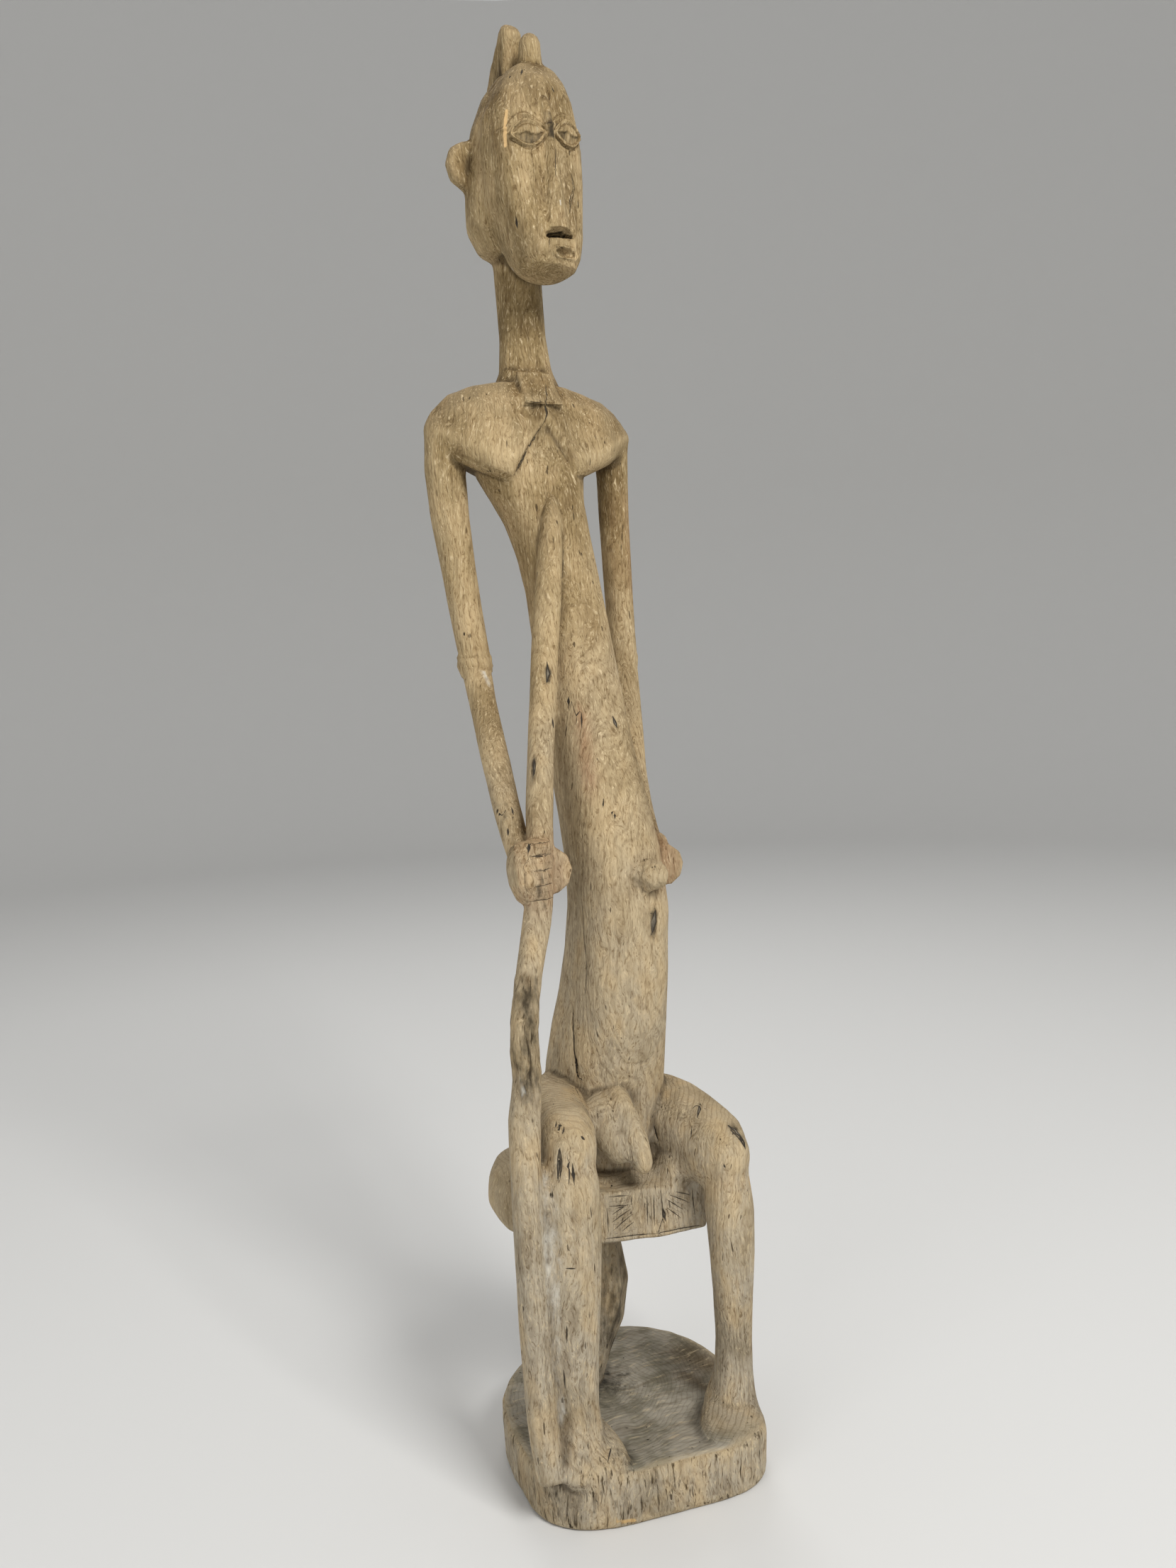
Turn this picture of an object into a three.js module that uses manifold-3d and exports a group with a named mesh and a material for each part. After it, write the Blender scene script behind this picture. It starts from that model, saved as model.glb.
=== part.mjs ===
// A tall seated hunter figure with a staff, carved out of one upright log together
// with its stool and its round base. Sizes are in millimetres, +Z is up, the underside
// lies on Z = 0, the figure faces -Y and its own left side is +X.

import * as THREE from 'three';
import { mergeVertices } from 'three/addons/utils/BufferGeometryUtils.js';
import Module from 'manifold-3d';

const wasm = await Module();
wasm.setup();

// Driving sizes of the whole carving

const FIGURE_HEIGHT = 1380;
const BASE_HEIGHT = 53;
const SEAT_TOP = 292;
const SEAT_UNDERSIDE = 222;
const YOKE_TOP = 1045;
const YOKE_FALL = 27;
const CHIN_HEIGHT = 1131;
const CROWN_HEIGHT = 1338;
const HEAD_TURN = THREE.MathUtils.degToRad(9);
const NECK_AXIS = { x: -33, y: 90 };

// Ways of making the forms

const MERGE_DISTANCE = 1e-4;
const FULL_TURN = 2 * Math.PI;

// A closed geometry as a solid that can be joined and cut, turned outside out if need be.
function solid(geometry) {
  const bare = new THREE.BufferGeometry();
  bare.setAttribute('position', geometry.attributes.position.clone());
  if (geometry.index) bare.setIndex(geometry.index.clone());
  const merged = mergeVertices(bare, MERGE_DISTANCE);
  const points = Float32Array.from(merged.attributes.position.array);
  const corners = Uint32Array.from(merged.index.array);
  const corner = (index) => new THREE.Vector3().fromArray(points, corners[index] * 3);
  let volume = 0;
  for (let first = 0; first < corners.length; first += 3) {
    volume += corner(first).dot(corner(first + 1).cross(corner(first + 2)));
  }
  if (volume < 0) {
    for (let first = 0; first < corners.length; first += 3) {
      [corners[first], corners[first + 1]] = [corners[first + 1], corners[first]];
    }
  }
  const mesh = new wasm.Mesh({ numProp: 3, vertProperties: points, triVerts: corners });
  return new wasm.Manifold(mesh);
}

// A closed skin of rows of points from one pole to the other.
function skin(sides, rows, pointAt) {
  const geometry = new THREE.SphereGeometry(1, sides, rows);
  const position = geometry.attributes.position;
  for (let index = 0; index < position.count; index += 1) {
    const row = Math.floor(index / (sides + 1));
    const side = (index % (sides + 1)) % sides;
    const point = pointAt(row, (FULL_TURN * side) / sides);
    position.setXYZ(index, point.x, point.y, point.z);
  }
  return solid(geometry);
}

// A rounded square with the given power: 2 is an ellipse, more is squarer.
function squarish(angle, power) {
  const bend = (value) => Math.sign(value) * Math.abs(value) ** (2 / power);
  return { across: bend(Math.cos(angle)), deep: bend(Math.sin(angle)) };
}

// A number read smoothly between evenly spaced stations.
function between(values, part) {
  const points = values.map((value, index) => new THREE.Vector2(index, value));
  return new THREE.SplineCurve(points).getPoint(part).y;
}

// One station of a limb: its centre, half width and half depth.
function station(x, y, z, across, deep) {
  return { centre: new THREE.Vector3(x, y, z), across, deep };
}

// Rows of a limb: quarter circles of rows over each rounded end, even rows between.
function limbRows(body, startTip, endTip, tipRows) {
  const rows = [];
  for (let row = 0; row <= tipRows; row += 1) {
    const angle = ((row / tipRows) * Math.PI) / 2;
    rows.push({ part: startTip * (1 - Math.cos(angle)), swell: Math.sin(angle) });
  }
  for (let row = 1; row < body; row += 1) {
    rows.push({ part: startTip + ((1 - startTip - endTip) * row) / body, swell: 1 });
  }
  for (let row = tipRows; row >= 0; row -= 1) {
    const angle = ((row / tipRows) * Math.PI) / 2;
    rows.push({ part: 1 - endTip * (1 - Math.cos(angle)), swell: Math.sin(angle) });
  }
  rows[0].swell = 0;
  rows[rows.length - 1].swell = 0;
  return rows;
}

// A limb through its stations, with rounded or flat ends.
function limb(stations, options = {}) {
  const { sides = 14, body = 10, startTip = 0, endTip = 0, tipRows = 3, power = 2 } = options;
  const { beside = new THREE.Vector3(1, 0, 0) } = options;
  const path = new THREE.CatmullRomCurve3(stations.map((one) => one.centre));
  const widths = stations.map((one) => one.across);
  const depths = stations.map((one) => one.deep);
  const rows = limbRows(body, startTip, endTip, tipRows);
  return skin(sides, rows.length - 1, (row, angle) => {
    const { part, swell } = rows[row];
    const along = path.getTangent(part);
    const deepWay = along.clone().cross(beside).normalize();
    const acrossWay = deepWay.clone().cross(along).normalize();
    const { across, deep } = squarish(angle, power);
    return path.getPoint(part)
      .addScaledVector(acrossWay, across * between(widths, part) * swell)
      .addScaledVector(deepWay, deep * between(depths, part) * swell);
  });
}

// A ball stretched to the given half sizes.
function pebble(x, y, z, halfX, halfY, halfZ, sides = 12, rows = 8) {
  const geometry = new THREE.SphereGeometry(1, sides, rows);
  geometry.rotateX(Math.PI / 2);
  geometry.scale(halfX, halfY, halfZ);
  geometry.translate(x, y, z);
  return solid(geometry);
}

// A flat plate drawn in the X-Z plane, with soft edges, between two depths.
function plate(outline, front, back, edge, curveSegments = 6) {
  const geometry = new THREE.ExtrudeGeometry(outline, {
    depth: back - front - 2 * edge,
    bevelEnabled: edge > 0,
    bevelSize: edge,
    bevelThickness: edge,
    bevelOffset: -edge,
    bevelSegments: 1,
    curveSegments,
  });
  geometry.rotateX(Math.PI / 2);
  geometry.translate(0, back - edge, 0);
  return solid(geometry);
}

function outlineOf(points) {
  return new THREE.Shape(points.map(([across, up]) => new THREE.Vector2(across, up)));
}

// Round base: full and straight at the front, round at the back, narrower below

const BASE = {
  x: -7.5, y: -1.5, halfWidth: 118.5, front: 108, back: 135.5, frontPower: 4.2, backPower: 2.1,
};
const BASE_TURN = THREE.MathUtils.degToRad(-3);
const BASE_SIDES = 32;
const BASE_ROWS = [
  { z: 0, size: 0 },
  { z: 0, size: 0.963 },
  { z: 6, size: 0.985 },
  { z: BASE_HEIGHT - 8, size: 1 },
  { z: BASE_HEIGHT, size: 0.97 },
  { z: BASE_HEIGHT - 3, size: 0.7 },
  { z: BASE_HEIGHT - 4, size: 0.35 },
  { z: BASE_HEIGHT - 4, size: 0 },
];

// How far the adze left the outline from the true curve, as a share of the radius.
function hewnBy(angle) {
  return 1 - 0.015 * Math.sin(2 * angle - 0.33) + 0.021 * Math.sin(3 * angle - 1.18);
}

function roundBase() {
  return skin(BASE_SIDES, BASE_ROWS.length - 1, (row, angle) => {
    const inFront = Math.sin(angle) < 0;
    const { across, deep } = squarish(angle, inFront ? BASE.frontPower : BASE.backPower);
    const reach = BASE_ROWS[row].size * hewnBy(angle);
    const depth = inFront ? BASE.front : BASE.back;
    const x = across * BASE.halfWidth * reach;
    const y = deep * depth * reach;
    return {
      x: BASE.x + x * Math.cos(BASE_TURN) - y * Math.sin(BASE_TURN),
      y: BASE.y + x * Math.sin(BASE_TURN) + y * Math.cos(BASE_TURN),
      z: BASE_ROWS[row].z,
    };
  });
}

// Stool: a thick seat along X with a domed right end, and one leaf-shaped leg behind

function stool() {
  const middle = (SEAT_TOP + SEAT_UNDERSIDE) / 2;
  const half = (SEAT_TOP - SEAT_UNDERSIDE) / 2;
  const seat = limb(
    [
      station(-125, 38, middle + 12, half + 1, 40),
      station(-60, 36, middle + 4, half + 1, 58),
      station(20, 34, middle - 1, half, 62),
      station(96, 34, middle - 3, half, 50),
    ],
    {
      sides: 14, body: 3, startTip: 0.14, endTip: 0.12, power: 3.2,
      beside: new THREE.Vector3(0, 0, 1),
    },
  );
  const leg = limb(
    [
      station(-30, 62, BASE_HEIGHT - 12, 15, 28),
      station(-23, 62, 92, 27, 34),
      station(-12, 62, 134, 34, 38),
      station(-13, 60, 180, 28, 38),
      station(-20, 58, SEAT_UNDERSIDE + 12, 24, 34),
    ],
    { sides: 10, body: 5, power: 2.2, tipRows: 1 },
  );
  return [seat, leg];
}

// Front panel of the seat: a low raised slab that carries the scribed fields

function seatPanel() {
  const outline = outlineOf([
    [-44, 228], [-8, 224], [20, 221], [72, 220], [72, 268], [22, 274], [-44, 279],
  ]);
  return plate(outline, -33, 20, 2.5);
}

// Legs: a thigh reaching forward, a shin and a broad foot worn down to a low mound

function rightLeg() {
  const thigh = limb(
    [
      station(-40, 48, 336, 36, 40),
      station(-64, 8, 340, 35, 40),
      station(-76, -38, 340, 28, 38),
      station(-80, -89, 332, 26.5, 38),
    ],
    { sides: 14, body: 5, startTip: 0.1, endTip: 0.2, power: 2.2, tipRows: 2 },
  );
  const shin = limb(
    [
      station(-86, -73, 60, 29, 27),
      station(-86, -71, 84, 21.5, 24),
      station(-86, -70, 116, 19.5, 22),
      station(-85, -69, 180, 23.5, 24),
      station(-83, -69, 250, 26, 25),
      station(-82, -67, 305, 26.5, 26),
      station(-80, -60, 352, 25, 26),
    ],
    { sides: 12, body: 6, endTip: 0.15, power: 2.3, tipRows: 3 },
  );
  const foot = limb(
    [
      station(-86, -42, 66, 18, 24),
      station(-82, -66, 67, 26, 27),
      station(-77, -85, 56, 32, 19),
      station(-75, -101, 47, 30, 10),
    ],
    { sides: 12, body: 5, startTip: 0.16, endTip: 0.14, power: 2.4, tipRows: 2 },
  );
  return [thigh, shin, foot];
}

function leftLeg() {
  const thigh = limb(
    [
      station(32, 48, 322, 36, 40),
      station(55, 8, 319, 35, 42),
      station(72, -38, 307, 29, 41),
      station(79, -89, 296, 25, 36.5),
    ],
    { sides: 14, body: 5, startTip: 0.1, endTip: 0.2, power: 2.2, tipRows: 2 },
  );
  const shin = limb(
    [
      station(74, -62, 58, 27, 26),
      station(76.5, -64, 78, 20.5, 22),
      station(77, -67, 104, 16.5, 18.5),
      station(77, -68, 150, 17, 19),
      station(77, -70, 200, 20, 21),
      station(77, -68, 250, 22.5, 23),
      station(78, -60, 318, 23.5, 25),
    ],
    { sides: 12, body: 6, endTip: 0.15, power: 2.3, tipRows: 3 },
  );
  const foot = limb(
    [
      station(74, -40, 57, 17, 15),
      station(69, -64, 57, 25, 18),
      station(63, -88, 51, 30, 14),
      station(60, -107, 47, 28, 9),
    ],
    { sides: 12, body: 5, startTip: 0.16, endTip: 0.14, power: 2.4, tipRows: 2 },
  );
  return [thigh, shin, foot];
}

// Long bent torso, from the seat to inside the shoulders

function torso() {
  const trunk = limb(
    [
      station(-5, 36, SEAT_TOP - 8, 54, 50),
      station(-5, 36, 340, 58, 58),
      station(-2, 26, 400, 55, 59),
      station(1, 10, 461, 48.5, 58),
      station(5, 2, 555, 44, 58),
      station(-3, 12, 640, 40, 52),
      station(-9, 28, 710, 38.5, 46),
      station(-12, 46, 793, 37, 41),
      station(-18, 60, 870, 35, 39),
      station(-29, 70, 930, 42, 38),
      station(-34, 77, 965, 58, 38),
      station(-32, 84, 1006, 66, 38),
    ],
    { sides: 20, body: 20, power: 2.25, tipRows: 1 },
  );
  const navel = limb(
    [station(15, -46, 574, 12.5, 14), station(18, -57, 575, 12.5, 14), station(20, -70, 576, 9.5, 10.5)],
    { sides: 10, body: 2, endTip: 0.3, tipRows: 2, power: 2.6 },
  );
  return [trunk, navel];
}

// Loin form: a broad wedge between the thighs, highest along a slanting ridge

function loinForm() {
  const mass = limb(
    [
      station(-27, -18, 372, 24, 13),
      station(-23, -25, 350, 26, 16),
      station(-17, -31, 327, 24, 16),
      station(-9, -35, 304, 17, 13),
    ],
    { sides: 10, body: 3, startTip: 0.2, endTip: 0.12, tipRows: 2 },
  );
  const ridge = limb(
    [
      station(-18, -26, 374, 10, 11),
      station(-12, -35, 350, 12, 12),
      station(-4, -43, 321, 12, 11),
      station(2, -46, 292, 9.5, 9),
    ],
    { sides: 8, body: 3, startTip: 0.15, endTip: 0.12, tipRows: 2 },
  );
  return [mass, ridge];
}

// Wood left in the corner between the left thigh and the seat
function lapFill() {
  return pebble(50, -14, 283, 27, 27, 18, 12, 6);
}

// Shoulder yoke: one form from shoulder to shoulder whose lower front edge overhangs

const YOKE = { right: -136, left: 77, apex: -29, rightTip: -67, leftTip: -1 };

function yokeEdge(x) {
  const corners = [
    { x: YOKE.right, z: 984, front: 74 },
    { x: -116, z: 969, front: 60 },
    { x: -94, z: 957, front: 46 },
    { x: YOKE.rightTip, z: 946, front: 37 },
    { x: YOKE.apex, z: 992, front: 43 },
    { x: YOKE.leftTip, z: 949, front: 40.5 },
    { x: 40, z: 966, front: 50 },
    { x: YOKE.left, z: 990, front: 74 },
  ];
  const next = Math.max(1, corners.findIndex((one) => one.x >= x));
  const before = corners[next - 1];
  const after = corners[next];
  const part = THREE.MathUtils.clamp((x - before.x) / (after.x - before.x), 0, 1);
  return {
    z: THREE.MathUtils.lerp(before.z, after.z, part),
    front: THREE.MathUtils.lerp(before.front, after.front, part),
  };
}

function shoulderYoke() {
  const places = [
    YOKE.right, -135, -128, -112, -92, YOKE.rightTip, -48, YOKE.apex, -14,
    YOKE.leftTip, 20, 42, 62, 74, YOKE.left,
  ];
  const middle = (YOKE.right + YOKE.left) / 2;
  const half = (YOKE.left - YOKE.right) / 2;
  const sides = 16;
  const inner = { y: 92, z: 998 };
  return skin(sides, places.length - 1, (row, angle) => {
    const x = places[row];
    const side = Math.round((angle / FULL_TURN) * sides);
    const outward = Math.abs(x - middle) / half;
    const swell = Math.sqrt(Math.max(0, 1 - outward ** 11));
    const edge = yokeEdge(x);
    const top = YOKE_TOP - YOKE_FALL * outward ** (x < middle ? 3.6 : 2);
    const back = 122 - 8 * outward;
    const section = [
      [edge.front + 1, edge.z + 5],
      [edge.front - 2, edge.z + 16],
      [edge.front + 3, THREE.MathUtils.lerp(edge.z, top, 0.45)],
      [edge.front + 12, THREE.MathUtils.lerp(edge.z, top, 0.78)],
      [edge.front + 24, top - 3],
      [inner.y - 4, top],
      [inner.y + 16, top - 6],
      [back - 3, top - 20],
      [back, edge.z + 34],
      [back - 4, edge.z + 16],
      [back - 14, edge.z + 7],
      [inner.y, edge.z + 5],
      [inner.y - 14, edge.z + 4],
      [edge.front + 24, edge.z + 2],
      [edge.front + 14, edge.z - 1],
      [edge.front + 6, edge.z],
    ];
    const [y, z] = section[side];
    return {
      x,
      y: THREE.MathUtils.lerp(inner.y, y, swell),
      z: THREE.MathUtils.lerp(inner.z, z, swell),
    };
  });
}

// Arms: round and thin, the right one ringed below the elbow and bent to the staff

function rightArm() {
  const upper = limb(
    [
      station(-115, 90, 1014, 20, 20),
      station(-118, 90, 950, 20.5, 21),
      station(-110, 90, 870, 17, 18),
      station(-102, 87, 806, 16, 17),
      station(-98, 80, 762, 15.5, 16),
    ],
    { sides: 10, body: 6, startTip: 0.05, endTip: 0.04, tipRows: 2 },
  );
  const armlet = limb(
    [station(-101, 86, 786, 16, 16), station(-100, 83, 776, 18, 18.5), station(-99, 80, 766, 16, 16)],
    { sides: 10, body: 2, tipRows: 1 },
  );
  const forearm = limb(
    [
      station(-100, 84, 780, 15, 15.5),
      station(-101, 58, 734, 13.5, 14.5),
      station(-101, 28, 684, 13.5, 14),
      station(-100, -10, 620, 12.5, 13.5),
      station(-98, -34, 590, 13, 13),
    ],
    { sides: 10, body: 6, startTip: 0.05, endTip: 0.05, tipRows: 1 },
  );
  return [upper, armlet, forearm];
}

function leftArm() {
  const upper = limb(
    [
      station(56, 90, 1004, 18, 20),
      station(57, 90, 941, 15.5, 18),
      station(57, 88, 870, 15, 16.5),
      station(57, 84, 812, 14.5, 15),
      station(57, 78, 764, 14, 14.5),
    ],
    { sides: 10, body: 6, startTip: 0.05, endTip: 0.04, tipRows: 2 },
  );
  const armlet = limb(
    [station(57, 86, 786, 14.5, 15), station(57, 83, 776, 16.5, 17), station(57, 80, 766, 14.5, 15)],
    { sides: 10, body: 2, tipRows: 1 },
  );
  const forearm = limb(
    [
      station(57, 82, 780, 14, 14.5),
      station(52, 62, 724, 13.5, 14),
      station(44, 38, 664, 13, 14),
      station(41, 12, 612, 12.5, 13.5),
      station(42, -6, 582, 12.5, 14),
    ],
    { sides: 10, body: 6, startTip: 0.05, endTip: 0.05, tipRows: 1 },
  );
  return [upper, armlet, forearm];
}

// Hands: the right one closed round the staff, each with a flat half-round flange

function flange(x, z, radius, front, back) {
  const round = new THREE.Shape();
  round.absarc(x, z, radius, 0, FULL_TURN);
  return plate(round, front, back, 1.5, 5);
}

function rightHand() {
  const back = limb(
    [
      station(-101, -34, 613, 12, 15),
      station(-100, -40, 600, 17, 21),
      station(-98, -42, 580, 18, 23),
      station(-93, -44, 556, 13, 18),
    ],
    { sides: 10, body: 4, startTip: 0.1, endTip: 0.12, tipRows: 2, power: 2.4 },
  );
  const fingers = [];
  const fingerCount = 4;
  for (let finger = 0; finger < fingerCount; finger += 1) {
    const z = 610 - 13 * finger;
    fingers.push(limb(
      [
        station(-107, -43, z, 6, 7),
        station(-101, -53, z, 6, 7),
        station(-89, -56, z, 6, 7),
        station(-80, -49, z, 6, 7),
      ],
      {
        sides: 6, body: 3, startTip: 0.1, endTip: 0.14, tipRows: 1, power: 2.8,
        beside: new THREE.Vector3(0, -1, 0),
      },
    ));
  }
  return [back, ...fingers, flange(-80, 587, 22, -49, -36)];
}

function leftHand() {
  const back = limb(
    [
      station(41, 0, 606, 12, 14),
      station(43, -8, 588, 14, 18),
      station(45, -14, 572, 12, 16),
      station(44, -17, 560, 9, 11),
    ],
    { sides: 10, body: 3, startTip: 0.12, endTip: 0.16, tipRows: 2, power: 2.3 },
  );
  return [back, flange(45, 578, 20, -25, -12)];
}

// Staff: from the middle of the chest through the fist and down beside the right leg

function staff() {
  return limb(
    [
      station(-30, 40, 940, 3, 6),
      station(-34, 30, 905, 9.5, 12),
      station(-47, 14, 836, 13, 14),
      station(-64, -6, 740, 12.5, 13.5),
      station(-82, -33, 640, 12.5, 13.5),
      station(-89, -46, 580, 12.5, 13.5),
      station(-95, -50, 545, 13.5, 13.5),
      station(-104, -54, 510, 12.2, 12.5),
      station(-112, -58, 474, 12.4, 12.5),
      station(-116, -60, 440, 13.2, 13.5),
      station(-115, -60, 405, 13.2, 14),
      station(-120, -62, 365, 14, 17),
      station(-122, -66, 280, 13.5, 18),
      station(-121, -68, 180, 14, 18),
      station(-120, -73, 104, 14, 17.5),
      station(-116, -78, 48, 14, 16),
    ],
    { sides: 10, body: 28, startTip: 0.03, power: 2.2, tipRows: 1 },
  );
}

// Web of wood left between the upper staff and the torso

function staffWeb() {
  return limb(
    [
      station(-32, 44, 860, 14, 14),
      station(-41, 30, 800, 13, 13),
      station(-46, 20, 750, 10, 12),
      station(-50, 15, 712, 6.5, 9),
    ],
    { sides: 8, body: 3, startTip: 0.1, endTip: 0.1, tipRows: 1 },
  );
}

// Wood left in the groove between the lower staff and the right shin

function shinWeb() {
  return limb(
    [
      station(-104, -70, 62, 11, 15),
      station(-104, -70, 150, 12, 15),
      station(-104, -68, 250, 13, 15),
      station(-101, -62, 340, 11, 13),
    ],
    { sides: 8, body: 3, endTip: 0.1, tipRows: 1 },
  );
}

// Neck with a flared foot, and the small hanging plate in front of it

function neck() {
  const column = limb(
    [
      station(-33, 88, 985, 46, 38),
      station(-33, 88, 1016, 42, 35),
      station(-32, 88, 1040, 35, 31),
      station(-32, 89, 1058, 27, 26),
      station(-33, 90, 1090, 23.5, 23.5),
      station(-34, 92, 1140, 23.5, 23.5),
      station(-34, 95, 1192, 25, 25),
    ],
    { sides: 12, body: 6, tipRows: 1 },
  );
  const slab = new THREE.BoxGeometry(1, 1, 1, 2, 1, 2);
  const position = slab.attributes.position;
  for (let index = 0; index < position.count; index += 1) {
    const up = position.getZ(index) + 0.5;
    const inward = position.getY(index) + 0.5;
    const x = position.getX(index) * THREE.MathUtils.lerp(37, 33, up);
    const z = THREE.MathUtils.lerp(1018, 1051, up);
    const face = THREE.MathUtils.lerp(43, 60.5, up);
    position.setXYZ(index, x + THREE.MathUtils.lerp(-30, -33, up), face + 26 * inward, z);
  }
  return [column, solid(slab)];
}

// Head, worked out round the axis of the neck and turned with it at the end

const FACE_ROWS = [
  { z: CHIN_HEIGHT, front: -58, back: -44, half: 0, shift: 0 },
  { z: CHIN_HEIGHT + 1, front: -68, back: -34, half: 17, shift: 0 },
  { z: CHIN_HEIGHT + 6, front: -77, back: -26, half: 26, shift: 0 },
  { z: CHIN_HEIGHT + 17, front: -81, back: -14, half: 31, shift: 0 },
  { z: CHIN_HEIGHT + 36, front: -81, back: -4, half: 36, shift: 0 },
  { z: CHIN_HEIGHT + 62, front: -77, back: 5, half: 41, shift: 0 },
  { z: CHIN_HEIGHT + 92, front: -73, back: 12, half: 45.5, shift: 0 },
  { z: CHIN_HEIGHT + 122, front: -69, back: 14, half: 47.5, shift: 0 },
  { z: CHIN_HEIGHT + 146, front: -65, back: 13, half: 45, shift: 1 },
  { z: CHIN_HEIGHT + 166, front: -61, back: 10, half: 40, shift: 3 },
  { z: CHIN_HEIGHT + 184, front: -55, back: 4, half: 32, shift: 5 },
  { z: CHIN_HEIGHT + 197, front: -46, back: -4, half: 23, shift: 7 },
  { z: CROWN_HEIGHT - 3, front: -38, back: -10, half: 13, shift: 8 },
  { z: CROWN_HEIGHT, front: -26, back: -20, half: 0, shift: 8 },
];

function faceForm() {
  return skin(20, FACE_ROWS.length - 1, (row, angle) => {
    const { z, front, back, half, shift } = FACE_ROWS[row];
    const inFront = Math.sin(angle) < 0;
    const { across, deep } = squarish(angle, inFront ? 3 : 2.3);
    const centre = (front + back) / 2;
    const depth = half === 0 ? 0 : (back - front) / 2;
    return { x: shift + across * half, y: centre + deep * depth, z };
  });
}

function skull() {
  return limb(
    [
      station(-1, 2, 1163, 34, 31),
      station(-2, 0, 1182, 48, 40),
      station(-1, -1, 1212, 51, 44),
      station(0, -2, 1246, 48.5, 46),
      station(0, -4, 1286, 42, 42),
      station(2, -7, 1314, 30, 34),
      station(4, -12, 1332, 17, 20),
    ],
    { sides: 14, body: 6, startTip: 0.05, endTip: 0.06, tipRows: 2 },
  );
}

function headgear() {
  const side = new THREE.Shape([
    new THREE.Vector2(-2, 1300),
    new THREE.Vector2(-6, 1356),
    new THREE.Vector2(-10, 1370),
    new THREE.Vector2(-2, FIGURE_HEIGHT - 1),
    new THREE.Vector2(5, FIGURE_HEIGHT),
    new THREE.Vector2(12, 1372),
    new THREE.Vector2(31, 1350),
    new THREE.Vector2(47, 1318),
    new THREE.Vector2(52, 1276),
    new THREE.Vector2(30, 1262),
  ]);
  const thickness = 18;
  const edge = 3;
  const fin = new THREE.ExtrudeGeometry(side, {
    depth: thickness - 2 * edge,
    bevelSize: edge,
    bevelThickness: edge,
    bevelOffset: -edge,
    bevelSegments: 1,
  });
  fin.rotateX(Math.PI / 2);
  fin.rotateZ(Math.PI / 2);
  fin.translate(-thickness / 2 + edge - 2, -7, 0);
  const knob = limb(
    [
      station(4, -31, 1322, 12, 13),
      station(4, -33, 1342, 11, 11.5),
      station(4, -34, 1361, 9.5, 9.5),
    ],
    { sides: 10, body: 2, endTip: 0.22, tipRows: 2, power: 2.3 },
  );
  return [solid(fin), knob];
}

function ear(way) {
  const round = new THREE.Shape();
  round.absarc(way * 44, 1247, 25, 0, FULL_TURN);
  return plate(round, 2, 14, 2.5, 5);
}

// An eye: a swollen oval with a raised almond rim, turned to the slope of the cheek and,
// as on the other side, a little higher towards the figure's left.
function eye(way) {
  const height = way < 0 ? 1253 : 1260;
  const halfWidth = way < 0 ? 17 : 16;
  const halfHeight = 11.5;
  const swelling = new THREE.SphereGeometry(1, 10, 5);
  swelling.scale(halfWidth + 1.5, 6.5, halfHeight + 4);
  const almond = (grow) => {
    const lens = new THREE.Shape();
    lens.moveTo(-halfWidth - grow, 0);
    lens.quadraticCurveTo(0, 2 * (halfHeight + grow), halfWidth + grow, 0);
    lens.quadraticCurveTo(0, -2 * (halfHeight + grow), -halfWidth - grow, 0);
    return lens;
  };
  const lid = plate(almond(0), -5.8, 2, 0, 4).subtract(plate(almond(-2.5), -9, -3.6, 0, 4));
  const slope = way < 0 ? -13 : 22;
  const tilt = -7;
  return solid(swelling).add(lid).rotate([0, tilt, slope]).translate([way * 21, -63, height]);
}

function nose() {
  return limb(
    [
      station(0, -62, 1292, 4, 4),
      station(0, -66, 1270, 5, 6),
      station(0, -70, 1230, 7, 9),
      station(0, -74, 1190, 10, 11),
      station(0, -76, 1166, 13.5, 12),
    ],
    { sides: 10, body: 6, startTip: 0.08, tipRows: 2, power: 1.8 },
  );
}

function head() {
  const mouthPit = pebble(6, -83, 1147.5, 10.5, 6, 4, 8, 4);
  const lips = pebble(6, -72.5, 1147.5, 14.5, 10, 8, 9, 6);
  const nostrils = solid(new THREE.BoxGeometry(30, 9, 4.6).rotateY(-0.1).translate(1, -82, 1162.7));
  let whole = faceForm();
  for (const form of [skull(), nose(), lips, eye(-1), eye(1), ear(-1), ear(1), ...headgear()]) {
    whole = whole.add(form);
  }
  whole = whole.subtract(mouthPit).subtract(nostrils);
  return whole
    .rotate([0, 0, THREE.MathUtils.radToDeg(HEAD_TURN)])
    .translate([NECK_AXIS.x, NECK_AXIS.y, 0]);
}

// The whole carving in one piece of wood

const forms = [
  roundBase(), ...stool(), seatPanel(), ...rightLeg(), ...leftLeg(), ...torso(), ...loinForm(),
  lapFill(), shoulderYoke(), ...rightArm(), ...leftArm(), ...rightHand(), ...leftHand(), staff(),
  staffWeb(), shinWeb(), ...neck(), head(),
];
let carving = forms[0];
for (const form of forms.slice(1)) {
  carving = carving.add(form);
}

const carved = carving.getMesh();
const geometry = new THREE.BufferGeometry();
geometry.setAttribute('position', new THREE.BufferAttribute(carved.vertProperties, 3));
geometry.setIndex(new THREE.BufferAttribute(carved.triVerts, 1));
geometry.computeVertexNormals();

const WEATHERED_WOOD = new THREE.MeshStandardMaterial({
  color: 0x8f7c60,
  roughness: 0.9,
  metalness: 0,
});

const figure = new THREE.Mesh(geometry, WEATHERED_WOOD);
figure.name = 'figure';

const part = new THREE.Group();
part.name = 'senufo_hunter_figure';
part.add(figure);

export default part;
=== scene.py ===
import math

import bmesh
import bpy
import numpy as np
from mathutils import Matrix, Vector
from mathutils.kdtree import KDTree


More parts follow.
